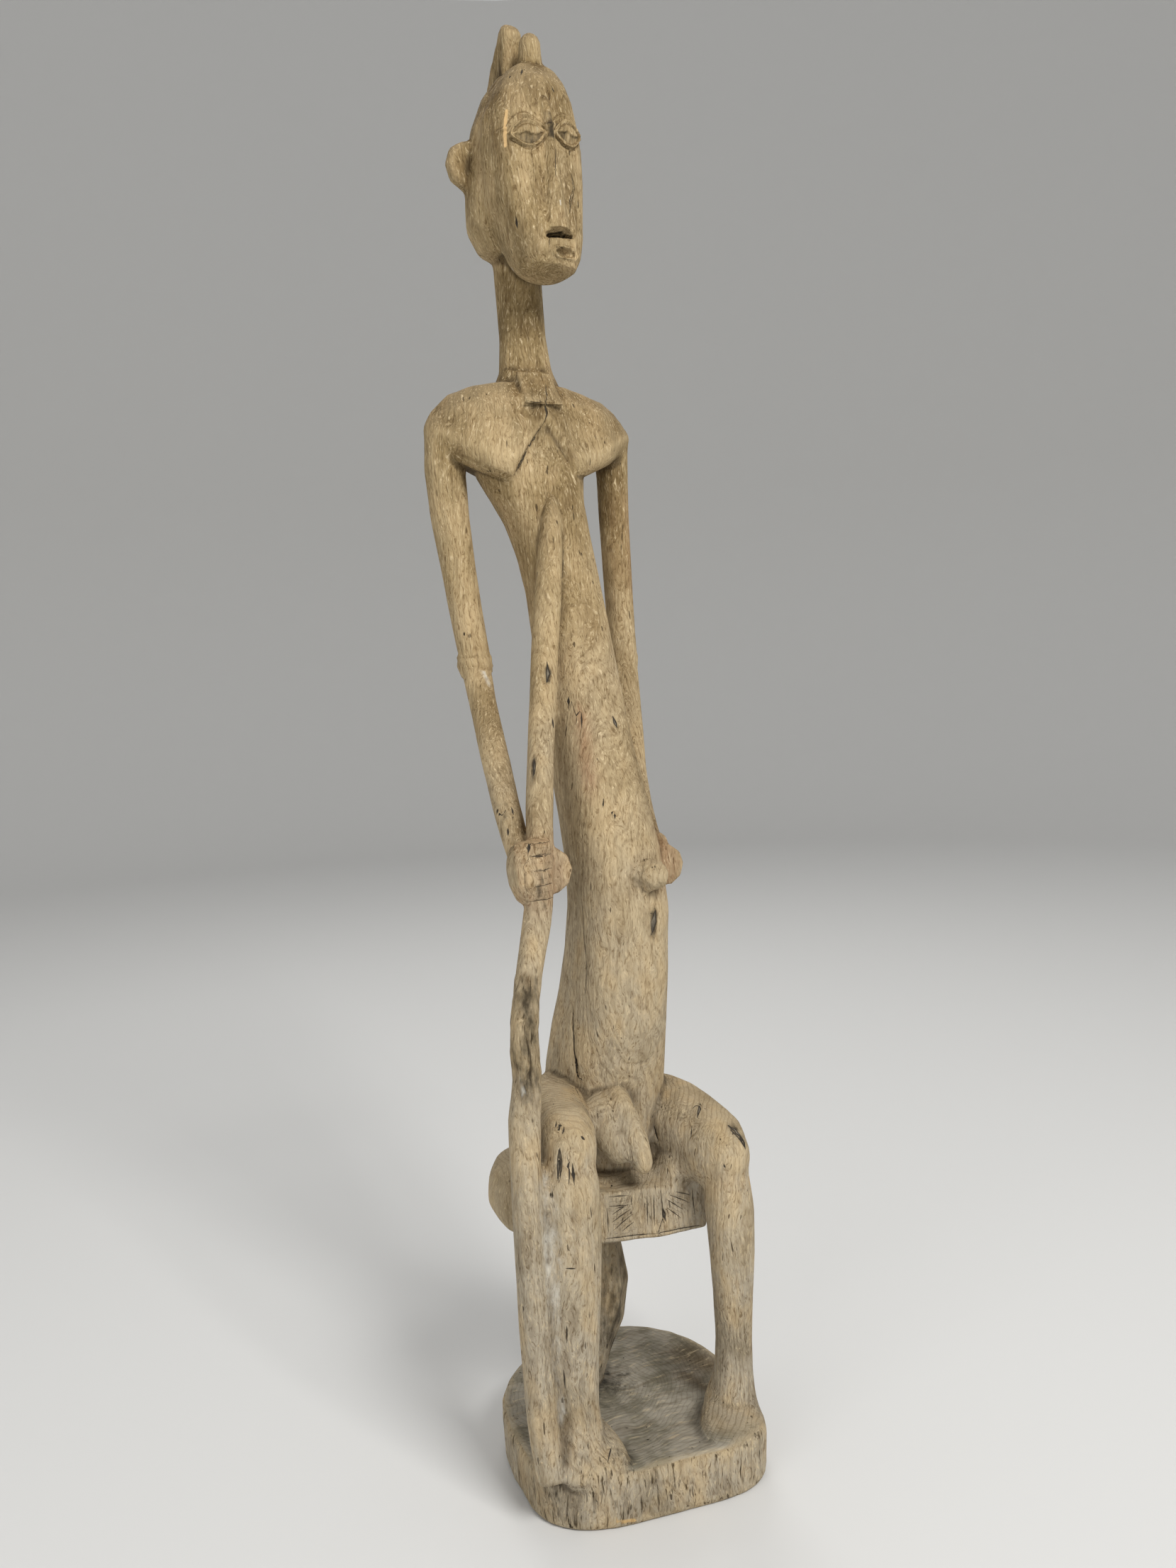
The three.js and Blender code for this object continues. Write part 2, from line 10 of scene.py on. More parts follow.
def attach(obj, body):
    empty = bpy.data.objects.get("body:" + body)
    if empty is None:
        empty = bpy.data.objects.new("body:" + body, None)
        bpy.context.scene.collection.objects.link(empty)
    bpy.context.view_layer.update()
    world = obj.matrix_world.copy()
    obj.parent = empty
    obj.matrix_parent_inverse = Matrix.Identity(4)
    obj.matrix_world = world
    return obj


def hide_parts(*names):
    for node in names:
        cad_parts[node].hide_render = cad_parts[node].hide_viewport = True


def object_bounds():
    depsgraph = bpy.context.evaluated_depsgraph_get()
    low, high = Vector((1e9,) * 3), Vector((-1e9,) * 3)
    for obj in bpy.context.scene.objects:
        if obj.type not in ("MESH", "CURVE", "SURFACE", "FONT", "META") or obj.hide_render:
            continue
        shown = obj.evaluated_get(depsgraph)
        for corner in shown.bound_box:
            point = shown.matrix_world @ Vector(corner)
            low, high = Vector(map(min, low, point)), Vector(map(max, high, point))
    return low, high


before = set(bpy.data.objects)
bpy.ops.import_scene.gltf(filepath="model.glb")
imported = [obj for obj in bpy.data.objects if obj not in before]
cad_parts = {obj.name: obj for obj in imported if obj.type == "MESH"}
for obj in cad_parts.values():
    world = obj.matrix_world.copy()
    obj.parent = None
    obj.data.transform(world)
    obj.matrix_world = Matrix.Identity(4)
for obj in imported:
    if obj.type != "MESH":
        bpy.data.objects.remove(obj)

cad_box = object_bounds()


# The log
#
# Hunter, staff, stool and base are one upright hardwood trunk, roughed out with an adze and
# finished with a knife: nothing is glued or pegged on. The facets of the frame are rounded off
# here the way blade and weather left them, and creases between the forms stay tighter.

MM = 0.001
VOXEL = 1.5
SETTLING_ROUNDS = 140
WEAR_ROUNDS = 200
WEIGHT_LEVELS = 24
INNER_CREASE = math.radians(-20)
CREASE_MARKS = 3
CREASE_REACH = 14
CREASE_GIVE = 0.08
OPEN_GROUND = (1.5, 12)


def eased(value):
    part = np.clip(value, 0, 1)
    return part * part * (3 - 2 * part)


def one_modifier(mesh, kind, settings, give=None):
    """The mesh after one modifier, with each point's share of it in give."""
    holder = bpy.data.objects.new("holder", mesh)
    bpy.context.scene.collection.objects.link(holder)
    holder.vertex_groups.clear()
    if give is not None:
        group = holder.vertex_groups.new(name="give")
        level = np.rint(np.clip(give, 0, 1) * WEIGHT_LEVELS).astype(int)
        for step in range(WEIGHT_LEVELS + 1):
            members = np.flatnonzero(level == step).tolist()
            if members:
                group.add(members, step / WEIGHT_LEVELS, "REPLACE")
    modifier = holder.modifiers.new("work", kind)
    for name, value in settings.items():
        setattr(modifier, name, value)
    depsgraph = bpy.context.evaluated_depsgraph_get()
    result = bpy.data.meshes.new_from_object(holder.evaluated_get(depsgraph))
    bpy.data.objects.remove(holder)
    return result


def points_of(mesh):
    flat = np.empty(len(mesh.vertices) * 3)
    mesh.vertices.foreach_get("co", flat)
    return flat.reshape(-1, 3) / MM


def put_points(mesh, points):
    mesh.vertices.foreach_set("co", (points * MM).ravel())
    mesh.update()


def normals_of(mesh):
    flat = np.empty(len(mesh.vertices) * 3)
    mesh.vertex_normals.foreach_get("vector", flat)
    return flat.reshape(-1, 3)


def crease_distance(points, reach):
    """How far each point is from an inner corner of the frame's solid, up to reach."""
    plain = bmesh.new()
    plain.from_mesh(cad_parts["figure"].data)
    bmesh.ops.remove_doubles(plain, verts=plain.verts, dist=0.01 * MM)
    marks = []
    for edge in plain.edges:
        if edge.calc_face_angle_signed(0) > INNER_CREASE:
            continue
        start, end = (Vector(one.co) / MM for one in edge.verts)
        pieces = max(1, round((end - start).length / CREASE_MARKS))
        marks += [start.lerp(end, part / pieces) for part in range(pieces + 1)]
    plain.free()
    tree = KDTree(len(marks))
    for index, mark in enumerate(marks):
        tree.insert(mark, index)
    tree.balance()
    near = np.full(len(points), float(reach))
    for index, point in enumerate(points):
        near[index] = min(reach, tree.find(point)[2])
    return near


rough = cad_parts["figure"].data.copy()
rough = one_modifier(rough, "REMESH", {"mode": "VOXEL", "voxel_size": VOXEL * MM})
place = points_of(rough)


def within(low, high, soft=8.0):
    """One inside the box and nothing outside it, with soft faces."""
    inside = np.ones(len(place))
    for axis in range(3):
        inside *= eased((place[:, axis] - low[axis]) / soft + 0.5)
        inside *= eased((high[axis] - place[:, axis]) / soft + 0.5)
    return inside


# How much each region may settle: big worn masses most, cut details least.
give = np.full(len(place), 0.5)
for low, high, amount in (
    ((-80, -80, 380), (75, 140, 1060), 0.9),
    ((-140, 20, 930), (85, 140, 1060), 0.8),
    ((-130, -60, 260), (110, 120, 420), 0.8),
    ((-140, -120, -9), (120, 140, 62), 0.6),
    ((-85, -40, 1128), (40, 60, 1345), 0.3),
    ((-66, 0, 1232), (20, 45, 1282), 0.05),
    ((-42, -10, 1168), (14, 26, 1262), 0.1),
    ((-42, -10, 1138), (14, 26, 1172), 0.03),
    ((-110, 40, 1215), (20, 130, 1280), 0.3),
    ((-50, 40, 1300), (0, 70, 1362), 0.3),
    ((-122, -80, 540), (-50, -28, 622), 0.12),
    ((22, -34, 550), (72, -4, 604), 0.15),
    ((-54, 30, 1014), (-8, 66, 1056), 0.08),
    ((-50, -45, 216), (50, -20, 285), 0.25),
    ((-125, 50, 755), (-80, 110, 797), 0.2),
    ((30, 50, 755), (80, 110, 797), 0.2),
):
    inside = within(low, high)
    give = give * (1 - inside) + amount * inside
open_ground = eased((crease_distance(place, CREASE_REACH) - OPEN_GROUND[0]) / OPEN_GROUND[1])
give = give * (CREASE_GIVE + (1 - CREASE_GIVE) * open_ground)

# Where forms run into each other, the inner corners are worn full as well.
for low, high, amount in (
    ((-128, -125, 44), (-42, -15, 128), 0.8),
    ((32, -125, 44), (108, -15, 128), 1.0),
    ((-125, -100, 80), (-86, -58, 350), 0.5),
    ((15, -25, 335), (95, 95, 425), 0.8),
    ((-100, -20, 345), (-35, 90, 425), 0.6),
    ((-50, -65, 285), (25, -8, 390), 0.6),
    ((15, -50, 250), (80, 25, 318), 0.8),
    ((45, -115, 250), (110, -40, 300), 0.9),
    ((-112, -115, 285), (-52, -40, 335), 0.9),
    ((-150, 50, 940), (-98, 135, 1010), 0.9),
    ((45, 50, 940), (90, 135, 1010), 0.9),
    ((-80, 25, 935), (12, 62, 1000), 0.25),
    ((-85, 70, 1036), (20, 135, 1075), 0.4),
    ((-122, -80, 555), (-68, -28, 628), 0.15),
    ((-75, -10, 640), (-30, 60, 900), 0.35),
    ((-110, 40, 1170), (-60, 130, 1285), 0.35),
    ((-96, 30, 1120), (-50, 130, 1300), 1.0),
):
    give = np.maximum(give, amount * within(low, high, 14))

settle = {"factor": 0.5, "iterations": SETTLING_ROUNDS, "vertex_group": "give"}
settled = points_of(one_modifier(rough.copy(), "SMOOTH", settle, give))
shrunk = rough.copy()
put_points(shrunk, settled - place)
place = settled - points_of(one_modifier(shrunk, "SMOOTH", settle, give))
put_points(rough, place)

# Three spots are worn further: the corner of the lap and the ankle on the left, and the lip of
# the right foot over the face of the base.
worn = np.zeros(len(place))
for centre, halves in (
    ((48, -26, 292), (20, 20, 17)),
    ((76, -64, 66), (40, 40, 24)),
    ((-88, -106, 46), (42, 13, 18)),
):
    apart = np.linalg.norm((place - np.array(centre)) / halves, axis=1)
    worn = np.maximum(worn, eased((2 - apart) / 2))
rough = one_modifier(rough, "SMOOTH", {**settle, "iterations": WEAR_ROUNDS}, worn)


# Blade work
#
# What the carver's knife and the years cut into the surface: lines, slits and drying cracks.
# Each is a row of points on the wood with a half width and a depth, all in millimetres, and
# the same rows give the mesh its grooves and the finish its dark bottoms.

NOISE_VALUES = 8192
NOISE_STRIDES = (73856093, 19349663, 83492791)
ON_THE_WOOD = 9
NOWHERE = 99.0
TAPER = 12
SHOULDER = 0.9


def noise(points, size, seed):
    """Even soft bumps from -1 to 1, of the given size in millimetres along each axis."""
    values = np.random.default_rng(seed).uniform(-1, 1, NOISE_VALUES)
    cell = points / np.asarray(size, float)
    corner = np.floor(cell).astype(np.int64)
    part = eased(cell - corner)
    total = np.zeros(len(points))
    for step in np.ndindex(2, 2, 2):
        spot = corner + step
        key = np.bitwise_xor.reduce(spot * NOISE_STRIDES, axis=1)
        share = np.prod(np.where(step, part, 1 - part), axis=1)
        total += values[key & (NOISE_VALUES - 1)] * share
    return total


def trace(line, points, normals, reach, deepest=ON_THE_WOOD):
    """For points near a line on the wood: which they are, how far to its side and how far along."""
    line = np.asarray(line, float)
    near = np.ones(len(points), bool)
    for axis in range(3):
        near &= points[:, axis] > line[:, axis].min() - reach
        near &= points[:, axis] < line[:, axis].max() + reach
    near = np.flatnonzero(near)
    spots, ways = points[near], normals[near]
    aside = np.full(len(near), NOWHERE)
    along = np.zeros(len(near))
    lengths = np.linalg.norm(np.diff(line, axis=0), axis=1)
    walked = 0.0
    for start, end, length in zip(line[:-1], line[1:], lengths):
        run = (end - start) / length
        forward = (spots - start) @ run
        off = spots - start - np.clip(forward, 0, length)[:, None] * run
        deep = np.einsum("ij,ij->i", off, ways)
        flat = off - deep[:, None] * ways
        side = np.einsum("ij,ij->i", np.cross(ways, run), flat)
        far = np.linalg.norm(flat, axis=1) + NOWHERE * (np.abs(deep) > deepest)
        better = far < np.abs(aside)
        aside[better] = np.where(side < 0, -far, far)[better]
        along[better] = (walked + np.clip(forward, 0, length))[better]
        walked += length
    return near, aside, along / walked


def belly_of(along, line):
    """Full width along the middle of a cut, running out to a point at its ends."""
    length = np.linalg.norm(np.diff(np.asarray(line, float), axis=0), axis=1).sum()
    ends = min(0.5, TAPER / length)
    return np.clip(np.minimum(along, 1 - along) / ends, 0, 1) ** 0.85


# Cuts that go dark: points, half width, depth.
slits = []
# Soft grooves and ridges that only show as form: points, half width, depth (ridges below 0).
folds = []


# Head
#
# A long mask-like face under a fore-and-aft crest with a knob, cut in low relief: coffee-bean
# eyes in almond lids, a straight flat nose ending in an undercut, a small pitted mouth.

HEAD_TURN = math.radians(9)
NECK = np.array([-33.0, 90.0, 0.0])
FACE = ((-80, -20, 1128), (35, 60, 1290))
EYE_SPREAD = 21
EYE_TILT = math.radians(7)
EYES = {-1: {"height": 1253.0, "half": 17.0}, 1: {"height": 1260.0, "half": 16.0}}
LID_HALF_HEIGHT = 11.5
FACE_DEPTH = -45.0


def head_axes(points):
    turned = points - NECK
    across = turned[:, 0] * math.cos(HEAD_TURN) + turned[:, 1] * math.sin(HEAD_TURN)
    depth = -turned[:, 0] * math.sin(HEAD_TURN) + turned[:, 1] * math.cos(HEAD_TURN)
    return across, depth, turned[:, 2]


def finer(mesh, low, high):
    """Each face inside the box cut in four, so that the knife work there has room."""
    fine = bmesh.new()
    fine.from_mesh(mesh)
    low, high = Vector(low) * MM, Vector(high) * MM
    edges = [
        edge for edge in fine.edges
        if all(low[axis] < edge.verts[0].co[axis] < high[axis] for axis in range(3))
    ]
    bmesh.ops.subdivide_edges(fine, edges=edges, cuts=1, use_grid_fill=True)
    fine.to_mesh(mesh)
    fine.free()
    mesh.update()


finer(rough, *FACE)
place = points_of(rough)
outward = normals_of(rough)


def ring_of(value, centre, half):
    """A soft band round one value."""
    return np.exp(-(((value - centre) / half) ** 2))


def eye_parts(points):
    """Height to add for both eyes, and how dark each eyeball is: stained inside, and painted shade
    below its slanting seam.
    """
    across, depth, up = head_axes(points)
    total = np.zeros(len(points))
    stain_and_shade_in_eyes = np.zeros(len(points))
    for way, eye in EYES.items():
        side = across - way * EYE_SPREAD
        lift = up - eye["height"]
        run = side * math.cos(EYE_TILT) + lift * math.sin(EYE_TILT)
        rise = -side * math.sin(EYE_TILT) + lift * math.cos(EYE_TILT)
        lens = LID_HALF_HEIGHT * np.clip(1 - (run / eye["half"]) ** 2, 0.02, 1)
        past_lid = np.abs(rise) - lens
        below = eased(0.5 - rise / 3)
        near = eased((27 - np.hypot(run, rise * 1.1)) / 6) * (depth < FACE_DEPTH)
        in_reach = near * eased((eye["half"] + 1.5 - np.abs(run)) / 3)
        split = np.interp(run, (-14, -8, -3, 2, 7, 13), (-0.4, -0.6, 1.5, -1.0, -1.2, 0.6))
        lower = in_reach * eased((split - rise) / 0.9) * eased((-1.6 - past_lid) / 0.9)
        ball = in_reach * eased((rise - split) / 1.6 + 1) * eased((-1.4 - past_lid) / 5)
        inner = in_reach * (1 - below) * ring_of(past_lid, -2.8, 1.0)
        rim = in_reach * ring_of(past_lid, -0.4, 1.1)
        outer = in_reach * ring_of(past_lid, 2.1, 1.2)
        brow = near * (1 - below) * ring_of(past_lid, 6.2, 1.6)
        bag = near * below * ring_of(past_lid, 6.4, 1.2)
        total += 1.8 * rim + 1.3 * ball + 1.4 * brow
        total -= (1.5 - 0.4 * below) * outer + 0.35 * lower + 1.0 * inner + 0.3 * bag
        inside = in_reach * eased((-1.4 - past_lid) / 0.9)
        # Stain inside the lids, and painted shade on the lower half below the seam.
        stain_and_shade_in_eyes = np.maximum(stain_and_shade_in_eyes, 0.6 * inside + 0.4 * lower)
    return total, stain_and_shade_in_eyes


def nose_relief(points):
    """Height to add along the nose: a flat back between two soft grooves."""
    across, depth, up = head_axes(points)
    part = np.clip((1248 - up) / 86, 0, 1)
    half = 4.5 + 8.5 * part
    along = eased((1252 - up) / 14) * eased((up - 1166) / 8) * (depth < FACE_DEPTH)
    groove = ring_of(np.abs(across + 1), half + 1.8, 2.0)
    return -along * 0.5 * groove


def inward_cuts(points):
    """Depth to cut into the face: the undercut below the nose and the pitted mouth."""
    across, depth, up = head_axes(points)
    in_front = depth < FACE_DEPTH
    top = np.interp(across, (-14, -11.8, -1.3, 3.7, 6.7, 15),
                    (1158.6, 1161.2, 1164.6, 1166, 1163.8, 1164.6))
    bottom = np.interp(across, (-14, 15), (1158.6, 1161.2))
    slot = eased((top - up) / 0.8 + 0.5) * eased((up - bottom) / 0.8 + 0.5)
    slot *= eased((across + 14) / 1.2) * eased((15.5 - across) / 1.2)
    ragged = 0.22 * noise(points, (2.5, 2.5, 2.5), 31)
    oval = np.hypot((across - 7) / 11.5, (up - 1147.5) / 4.2) + ragged
    mouth = eased((1 - oval) / 0.3)
    lip = ring_of(oval, 1.25, 0.2)
    chipped = eased((26 - np.hypot(across - 12, up - 1140)) / 12)
    chips = chipped * (0.5 + 0.7 * noise(points, (4, 4, 5), 32))
    return in_front * (6.0 * slot + 2.8 * mouth - 0.8 * lip + chips)


place += outward * (eye_parts(place)[0] + nose_relief(place))[:, None]
face_way = np.array([-math.sin(HEAD_TURN), math.cos(HEAD_TURN), 0.0])
place += face_way * inward_cuts(place)[:, None]

# The mask's raised edge, the line under the jaw and the side of the head filled out behind them.
mask_rim = [(-30, 78, 1343), (-47, 63, 1324), (-59, 63, 1309), (-67, 74, 1292), (-76, 80, 1272)]
jaw_rim = [(-70, 64, 1189), (-62, 69, 1170), (-53, 45, 1142), (-36, 44, 1133)]
temple = [(-79, 60, 1294), (-73, 54, 1262), (-71, 52, 1235), (-69, 52, 1210), (-64, 52, 1192)]
folds += [(mask_rim, 3.4, -0.8), (jaw_rim, 3.4, 0.7), (temple, 10, -2.2)]
slits += [
    ([(-2, 22, 1223), (1, 20, 1210), (-5, 17, 1197), (-8, 16, 1184)], 0.3, 0.8),
    ([(-58, 23, 1179), (-58, 23, 1168)], 1.0, 1.0),
    ([(-41, 37, 1319), (-41, 37, 1311)], 1.2, 1.0),
    ([(-12, 34, 1305), (-11, 34, 1298)], 0.7, 0.8),
    ([(-20, 15, 1240), (-21, 14, 1228), (-22, 12, 1212)], 0.3, 0.5),
    ([(-31, 12, 1159), (-32, 12, 1149)], 0.5, 0.7),
]


# Chest and neck
#
# One broad yoke, its lower edge undercut all along, a small square pendant left proud at the
# foot of the neck, and a drying crack that ran down from it along the edge of the right breast.

slits += [
    ([(-24, 52, 1042), (-26, 45, 1030), (-29, 42, 1019)], 0.25, 0.9),
    ([(-29, 44, 1024), (-29, 43, 1014), (-29, 43, 1007), (-33, 43, 1000)], 0.75, 2.2),
    ([(-32, 43, 1002), (-37, 42, 994), (-43, 40, 984), (-50, 38, 974), (-65, 40, 948)], 0.2, 1.0),
    ([(-49, 47, 1019), (-40, 46, 1018.5), (-30, 46, 1018)], 0.3, 0.8),
]
folds += [
    ([(-31, 42, 1000), (-45, 40, 982), (-66, 38, 950)], 2.4, 0.8),
    ([(-31, 42, 1000), (-16, 41, 973), (4, 40, 949)], 1.6, 0.7),
    ([(-62, 86, 1056), (-46, 59, 1050), (-20, 59, 1052)], 2.0, -0.8),
    ([(-126, 60, 970), (-102, 46, 956), (-84, 42, 950), (-64, 39, 945)], 2.2, 1.3),
    ([(-16, 57, 1049), (-12, 51, 1034), (-10, 46, 1020)], 1.3, 1.0),
    ([(-10, 46, 1020), (-32, 46, 1017), (-54, 47, 1017)], 1.3, 0.9),
]


# Arms, hands and staff
#
# Thin round arms with an armlet ring below each elbow. The right fist, four flat finger bars,
# closes round the staff, which tapers out of the chest and runs down along the right leg.

FIST = ((-122, -80, 548), (-60, -28, 624))
BROKEN_STAFF = ((-135, -85, 402), (-95, -35, 500))
FINGER_TOP = 616.5
FINGER_STEP = 13
for finger in range(5):
    height = FINGER_TOP - FINGER_STEP * finger
    slits.append(([(-105, -54, height), (-99, -60, height), (-88, -62, height),
                   (-80, -57, height)], 0.2, 1.1))
slits += [
    ([(-103, -55, 616), (-104, -55, 590), (-103, -55, 565)], 0.2, 0.9),
    ([(-101, -58, 617), (-103, -57, 605)], 0.9, 1.6),
    ([(-60, -12, 774), (-60.5, -16, 762), (-64, -17, 752)], 1.7, 1.2),
    ([(-85, -31, 689), (-85, -33, 669)], 1.5, 1.2),
    ([(-61, -22, 724), (-61, -24, 711)], 1.1, 1.2),
    ([(-29, 32, 874), (-31, 28, 862), (-33, 27, 852)], 0.9, 1.0),
    ([(-134, -74, 214), (-133, -74, 205)], 0.7, 0.8),
    ([(-112, -3, 643), (-112, -3, 637)], 1.6, 1.2),
    ([(-101, -13, 644), (-100, -16, 635)], 0.8, 1.0),
    ([(-108, -18, 627), (-109, -22, 617)], 1.1, 1.0),
]


# Torso
#
# A long bowed trunk of the tree itself, wavy grain from chest to belly, a peg-like navel, small
# knots with black hearts and two drying cracks, the longer one open where it meets the lap.

slits += [
    ([(-48, -4, 452), (-48.5, -5, 430), (-49, -7, 405), (-48, -9, 384), (-51, -24, 372),
      (-56, -44, 366)], 0.35, 1.8),
    ([(-48, -8, 404), (-48, -9, 384)], 1.0, 2.6),
    ([(-38, -14, 551), (-37, -18, 520), (-39, -23, 488), (-42, -20, 462)], 0.2, 0.4),
    ([(-29, -11, 727), (-29, -12, 711)], 0.7, 0.9),
    ([(2, -17, 721), (4, -17, 709)], 1.9, 1.2),
    ([(-39, -2, 743), (-40, -3, 729)], 0.9, 0.9),
    ([(-20, -36, 647), (-22, -37, 636)], 0.7, 0.8),
    ([(-12, -41, 634), (-12, -41, 628)], 1.0, 0.9),
    ([(20, -53, 543), (18, -54, 531), (16, -54, 519)], 3.2, 1.8),
]
folds += [
    ([(-24, -36, 430), (-16, -34, 405), (-10, -33, 396), (3, -32, 393), (15, -30, 395),
      (26, -25, 402)], 1.6, 1.1),
    ([(-11, -33, 395), (-13, -30, 382), (-15, -27, 370)], 1.8, -1.0),
    ([(-44, -20, 366), (-30, -28, 368), (-20, -30, 370)], 1.2, 0.7),
    ([(-27, -33, 370), (-23, -41, 349), (-14, -49, 320), (-5, -53, 298)], 1.4, 0.5),
]


# Legs and feet
#
# Thighs and shins stand square to each other with high worn knees, the growth rings showing as
# contour lines on them, and the toes are worn away to a few upright slits in broad low feet.

slits += [
    ([(-96, -82, 350), (-98, -84, 335), (-99, -84, 318)], 1.6, 2.6),
    ([(-86, -87, 336), (-86, -91, 317)], 0.9, 1.6),
    ([(-93, -68, 368), (-94, -69, 361)], 0.8, 1.2),
    ([(-89, -76, 365), (-90, -77, 358)], 1.0, 1.2),
    ([(-76, -85, 358), (-72, -86, 353)], 1.2, 1.3),
    ([(-106, -80, 312), (-106, -80, 303)], 0.5, 0.8),
    ([(-103.5, -81, 312), (-103.5, -81, 303)], 0.5, 0.8),
    ([(-99, -89, 193), (-99.5, -88, 175)], 0.6, 1.0),
    ([(-102, -84, 151), (-101, -84, 133)], 0.7, 1.0),
    ([(-98, -90, 244), (-89, -93, 243)], 0.6, 1.0),
    ([(63, -43, 353), (59, -47, 345), (56, -50, 337)], 1.5, 1.2),
    ([(49, -50, 331), (48, -52, 320)], 0.6, 0.9),
    ([(75, -76, 339), (82, -82, 333), (86.5, -86, 325), (89, -88, 314)], 2.0, 2.6),
    ([(65, -83, 304), (66, -84, 299)], 1.0, 1.2),
    ([(27, -12, 327), (29, -14, 316), (31, -16, 305)], 0.8, 1.2),
]
slits += [
    ([(-83, -82, 72), (-87, -92, 67)], 0.6, 1.2),
    ([(-75, -80, 73), (-78, -89, 67)], 0.6, 1.2),
    ([(-65, -84, 68), (-71, -98, 60)], 0.8, 1.4),
]
for across, drop in ((-120, 8), (-111, 14), (-104, 22), (-96, 12), (-87, 20), (-79, 9)):
    folds.append(([(across, -104, 46), (across - 1, -105, 38), (across, -105, 32 - drop)],
                  1.6, 0.7))
    slits.append(([(across, -104, 44), (across, -105, 38), (across, -105, 36 - drop)],
                  0.1, 0.4))


# Stool
#
# A thick seat through the legs, its front a plain block scribed with two hatched fields over a
# narrow border, split once near the middle. Its right end shows as a dome behind the staff.

SEAT_FRONT = ((-48, -45, 216), (76, -20, 284))
PANEL = -33.0
SCRIBED = (1.2, 0.7)
SCRIBED_DARK = 0.3
for line in (
    ((-32, 263), (-9, 259)), ((-8, 268), (-8, 259)), ((-31, 272), (-10, 269)),
    ((-33, 262), (-33, 238)), ((-29, 254), (-11, 261)), ((-29, 247), (-9, 256)),
    ((-28, 239), (-7, 251)), ((-20, 236), (-6, 243)),
    ((8, 266), (8, 236)), ((15, 266), (15, 234)),
    ((28, 258), (45, 244)), ((28, 250), (43, 236)), ((31, 262), (52, 249)), ((38, 263), (54, 256)),
    ((56, 264), (58, 236)), ((-38, 233), (14, 227)), ((14, 227), (66, 224)),
):
    scribed = [(across, PANEL, height) for across, height in line]
    folds.append((scribed, *SCRIBED))
    slits.append((scribed, SCRIBED_DARK, 0.3))
slits += [
    ([(22, PANEL, 268), (23.5, PANEL, 255), (24, PANEL, 240), (19, PANEL, 228),
      (18, PANEL, 222)], 0.25, 0.9),
    ([(24, PANEL, 250), (25.5, PANEL, 242), (27, PANEL, 236)], 1.2, 2.4),
    ([(-42, PANEL, 264), (-43, PANEL, 246), (-41, PANEL, 230)], 0.8, 2.4),
]
folds.append(([(63, PANEL, 254), (64, PANEL, 243)], 3.0, -1.4))


# Base
#
# The foot of the log: its top hollowed and scratched across, its side showing the stood-up
# grain, long since eroded into short upright furrows, with chips out of the lower front edge.

slits += [
    ([(50, 17, 50), (66, 17, 50), (80, 10, 50)], 0.5, 0.8),
    ([(-18, -66, 50), (-14, -67, 50)], 1.2, 1.2),
    ([(12, -97, 50), (16, -97, 50)], 1.0, 1.2),
]
side = eased((54 - place[:, 2]) / 8) * eased((place[:, 2] + 4) / 4)
side *= eased(1 - np.abs(outward[:, 2]))
furrows = 0.7 * noise(place, (5, 5, 30), 11) + 0.7 * noise(place, (2.8, 2.8, 22), 12)
top = eased((outward[:, 2] - 0.6) / 0.3) * within((-140, -120, 40), (120, 140, 60), 4)
seen_along = place @ np.array([[0.927, 0.375, 0], [-0.375, 0.927, 0], [0, 0, 1]])
scratches = noise(seen_along, (60, 12, 9), 13) + 0.6 * noise(seen_along, (34, 5, 9), 14)
place += outward * (0.32 * side * furrows - 0.2 * side + 0.3 * top * scratches)[:, None]


# Wood surface
#
# All over, the adze left shallow facets and the weather raised the hard fibres a little. Then
# the mesh is thinned where it is flat, and every point is told what has happened to it there.

TRIANGLES = 194000
FINE_DETAIL = 0.35
HOLLOW_ROUNDS = 30
HOLLOW_DEPTH = 2.5
adze = noise(place, (26, 26, 46), 21)
sways = [noise(place, (34, 34, 60), seed) for seed in (28, 29)]
swayed = place + 9 * np.stack([*sways, np.zeros(len(place))], axis=1)
fibres = noise(swayed, (5, 5, 50), 22) + 0.6 * noise(swayed, (3, 3, 26), 23)
rough_staff = within(*BROKEN_STAFF, 20)
rough_skin = noise(place, (6, 6, 9), 24)
place += outward * (0.6 * adze + 0.09 * fibres + 0.8 * rough_staff * rough_skin)[:, None]
peg = within((-4, -90, 554), (34, -52, 598), 6) * (noise(place, (6, 6, 7), 25)
                                                   + 0.5 * noise(place, (2.6, 2.6, 3), 26))
ring = within((-125, 50, 764), (-76, 110, 788), 5) * noise(place, (7, 7, 3), 27)
place += outward * (1.3 * peg + 0.8 * ring)[:, None]

for line, half, depth in folds:
    near, aside, along = trace(line, place, outward, 2.2 * half + 6, ON_THE_WOOD + half)
    cut = depth * ring_of(aside, 0, half) * belly_of(along, line)
    place[near] -= outward[near] * cut[:, None]
for line, half, depth in slits:
    near, aside, along = trace(line, place, outward, 10)
    wide = half * belly_of(along, line) + SHOULDER
    cut = depth * np.clip(1 - (np.abs(aside) / wide) ** 2, 0, 1)
    place[near] -= outward[near] * (cut * belly_of(along, line))[:, None]

low = np.array(cad_box[0]) / MM
high = np.array(cad_box[1]) / MM
place = np.clip(place, low, high)
put_points(rough, place)
carved = one_modifier(rough, "TRIANGULATE", {"quad_method": "SHORTEST_DIAGONAL"})
plain = 1 - np.max([within(*FACE), within(*SEAT_FRONT), within(*FIST)], axis=0)
thin = {"ratio": TRIANGLES / len(carved.polygons), "vertex_group": "give",
        "vertex_group_factor": 1.0}
carved = one_modifier(carved, "DECIMATE", thin, FINE_DETAIL + (1 - FINE_DETAIL) * plain)
carved.name = "carved_figure"

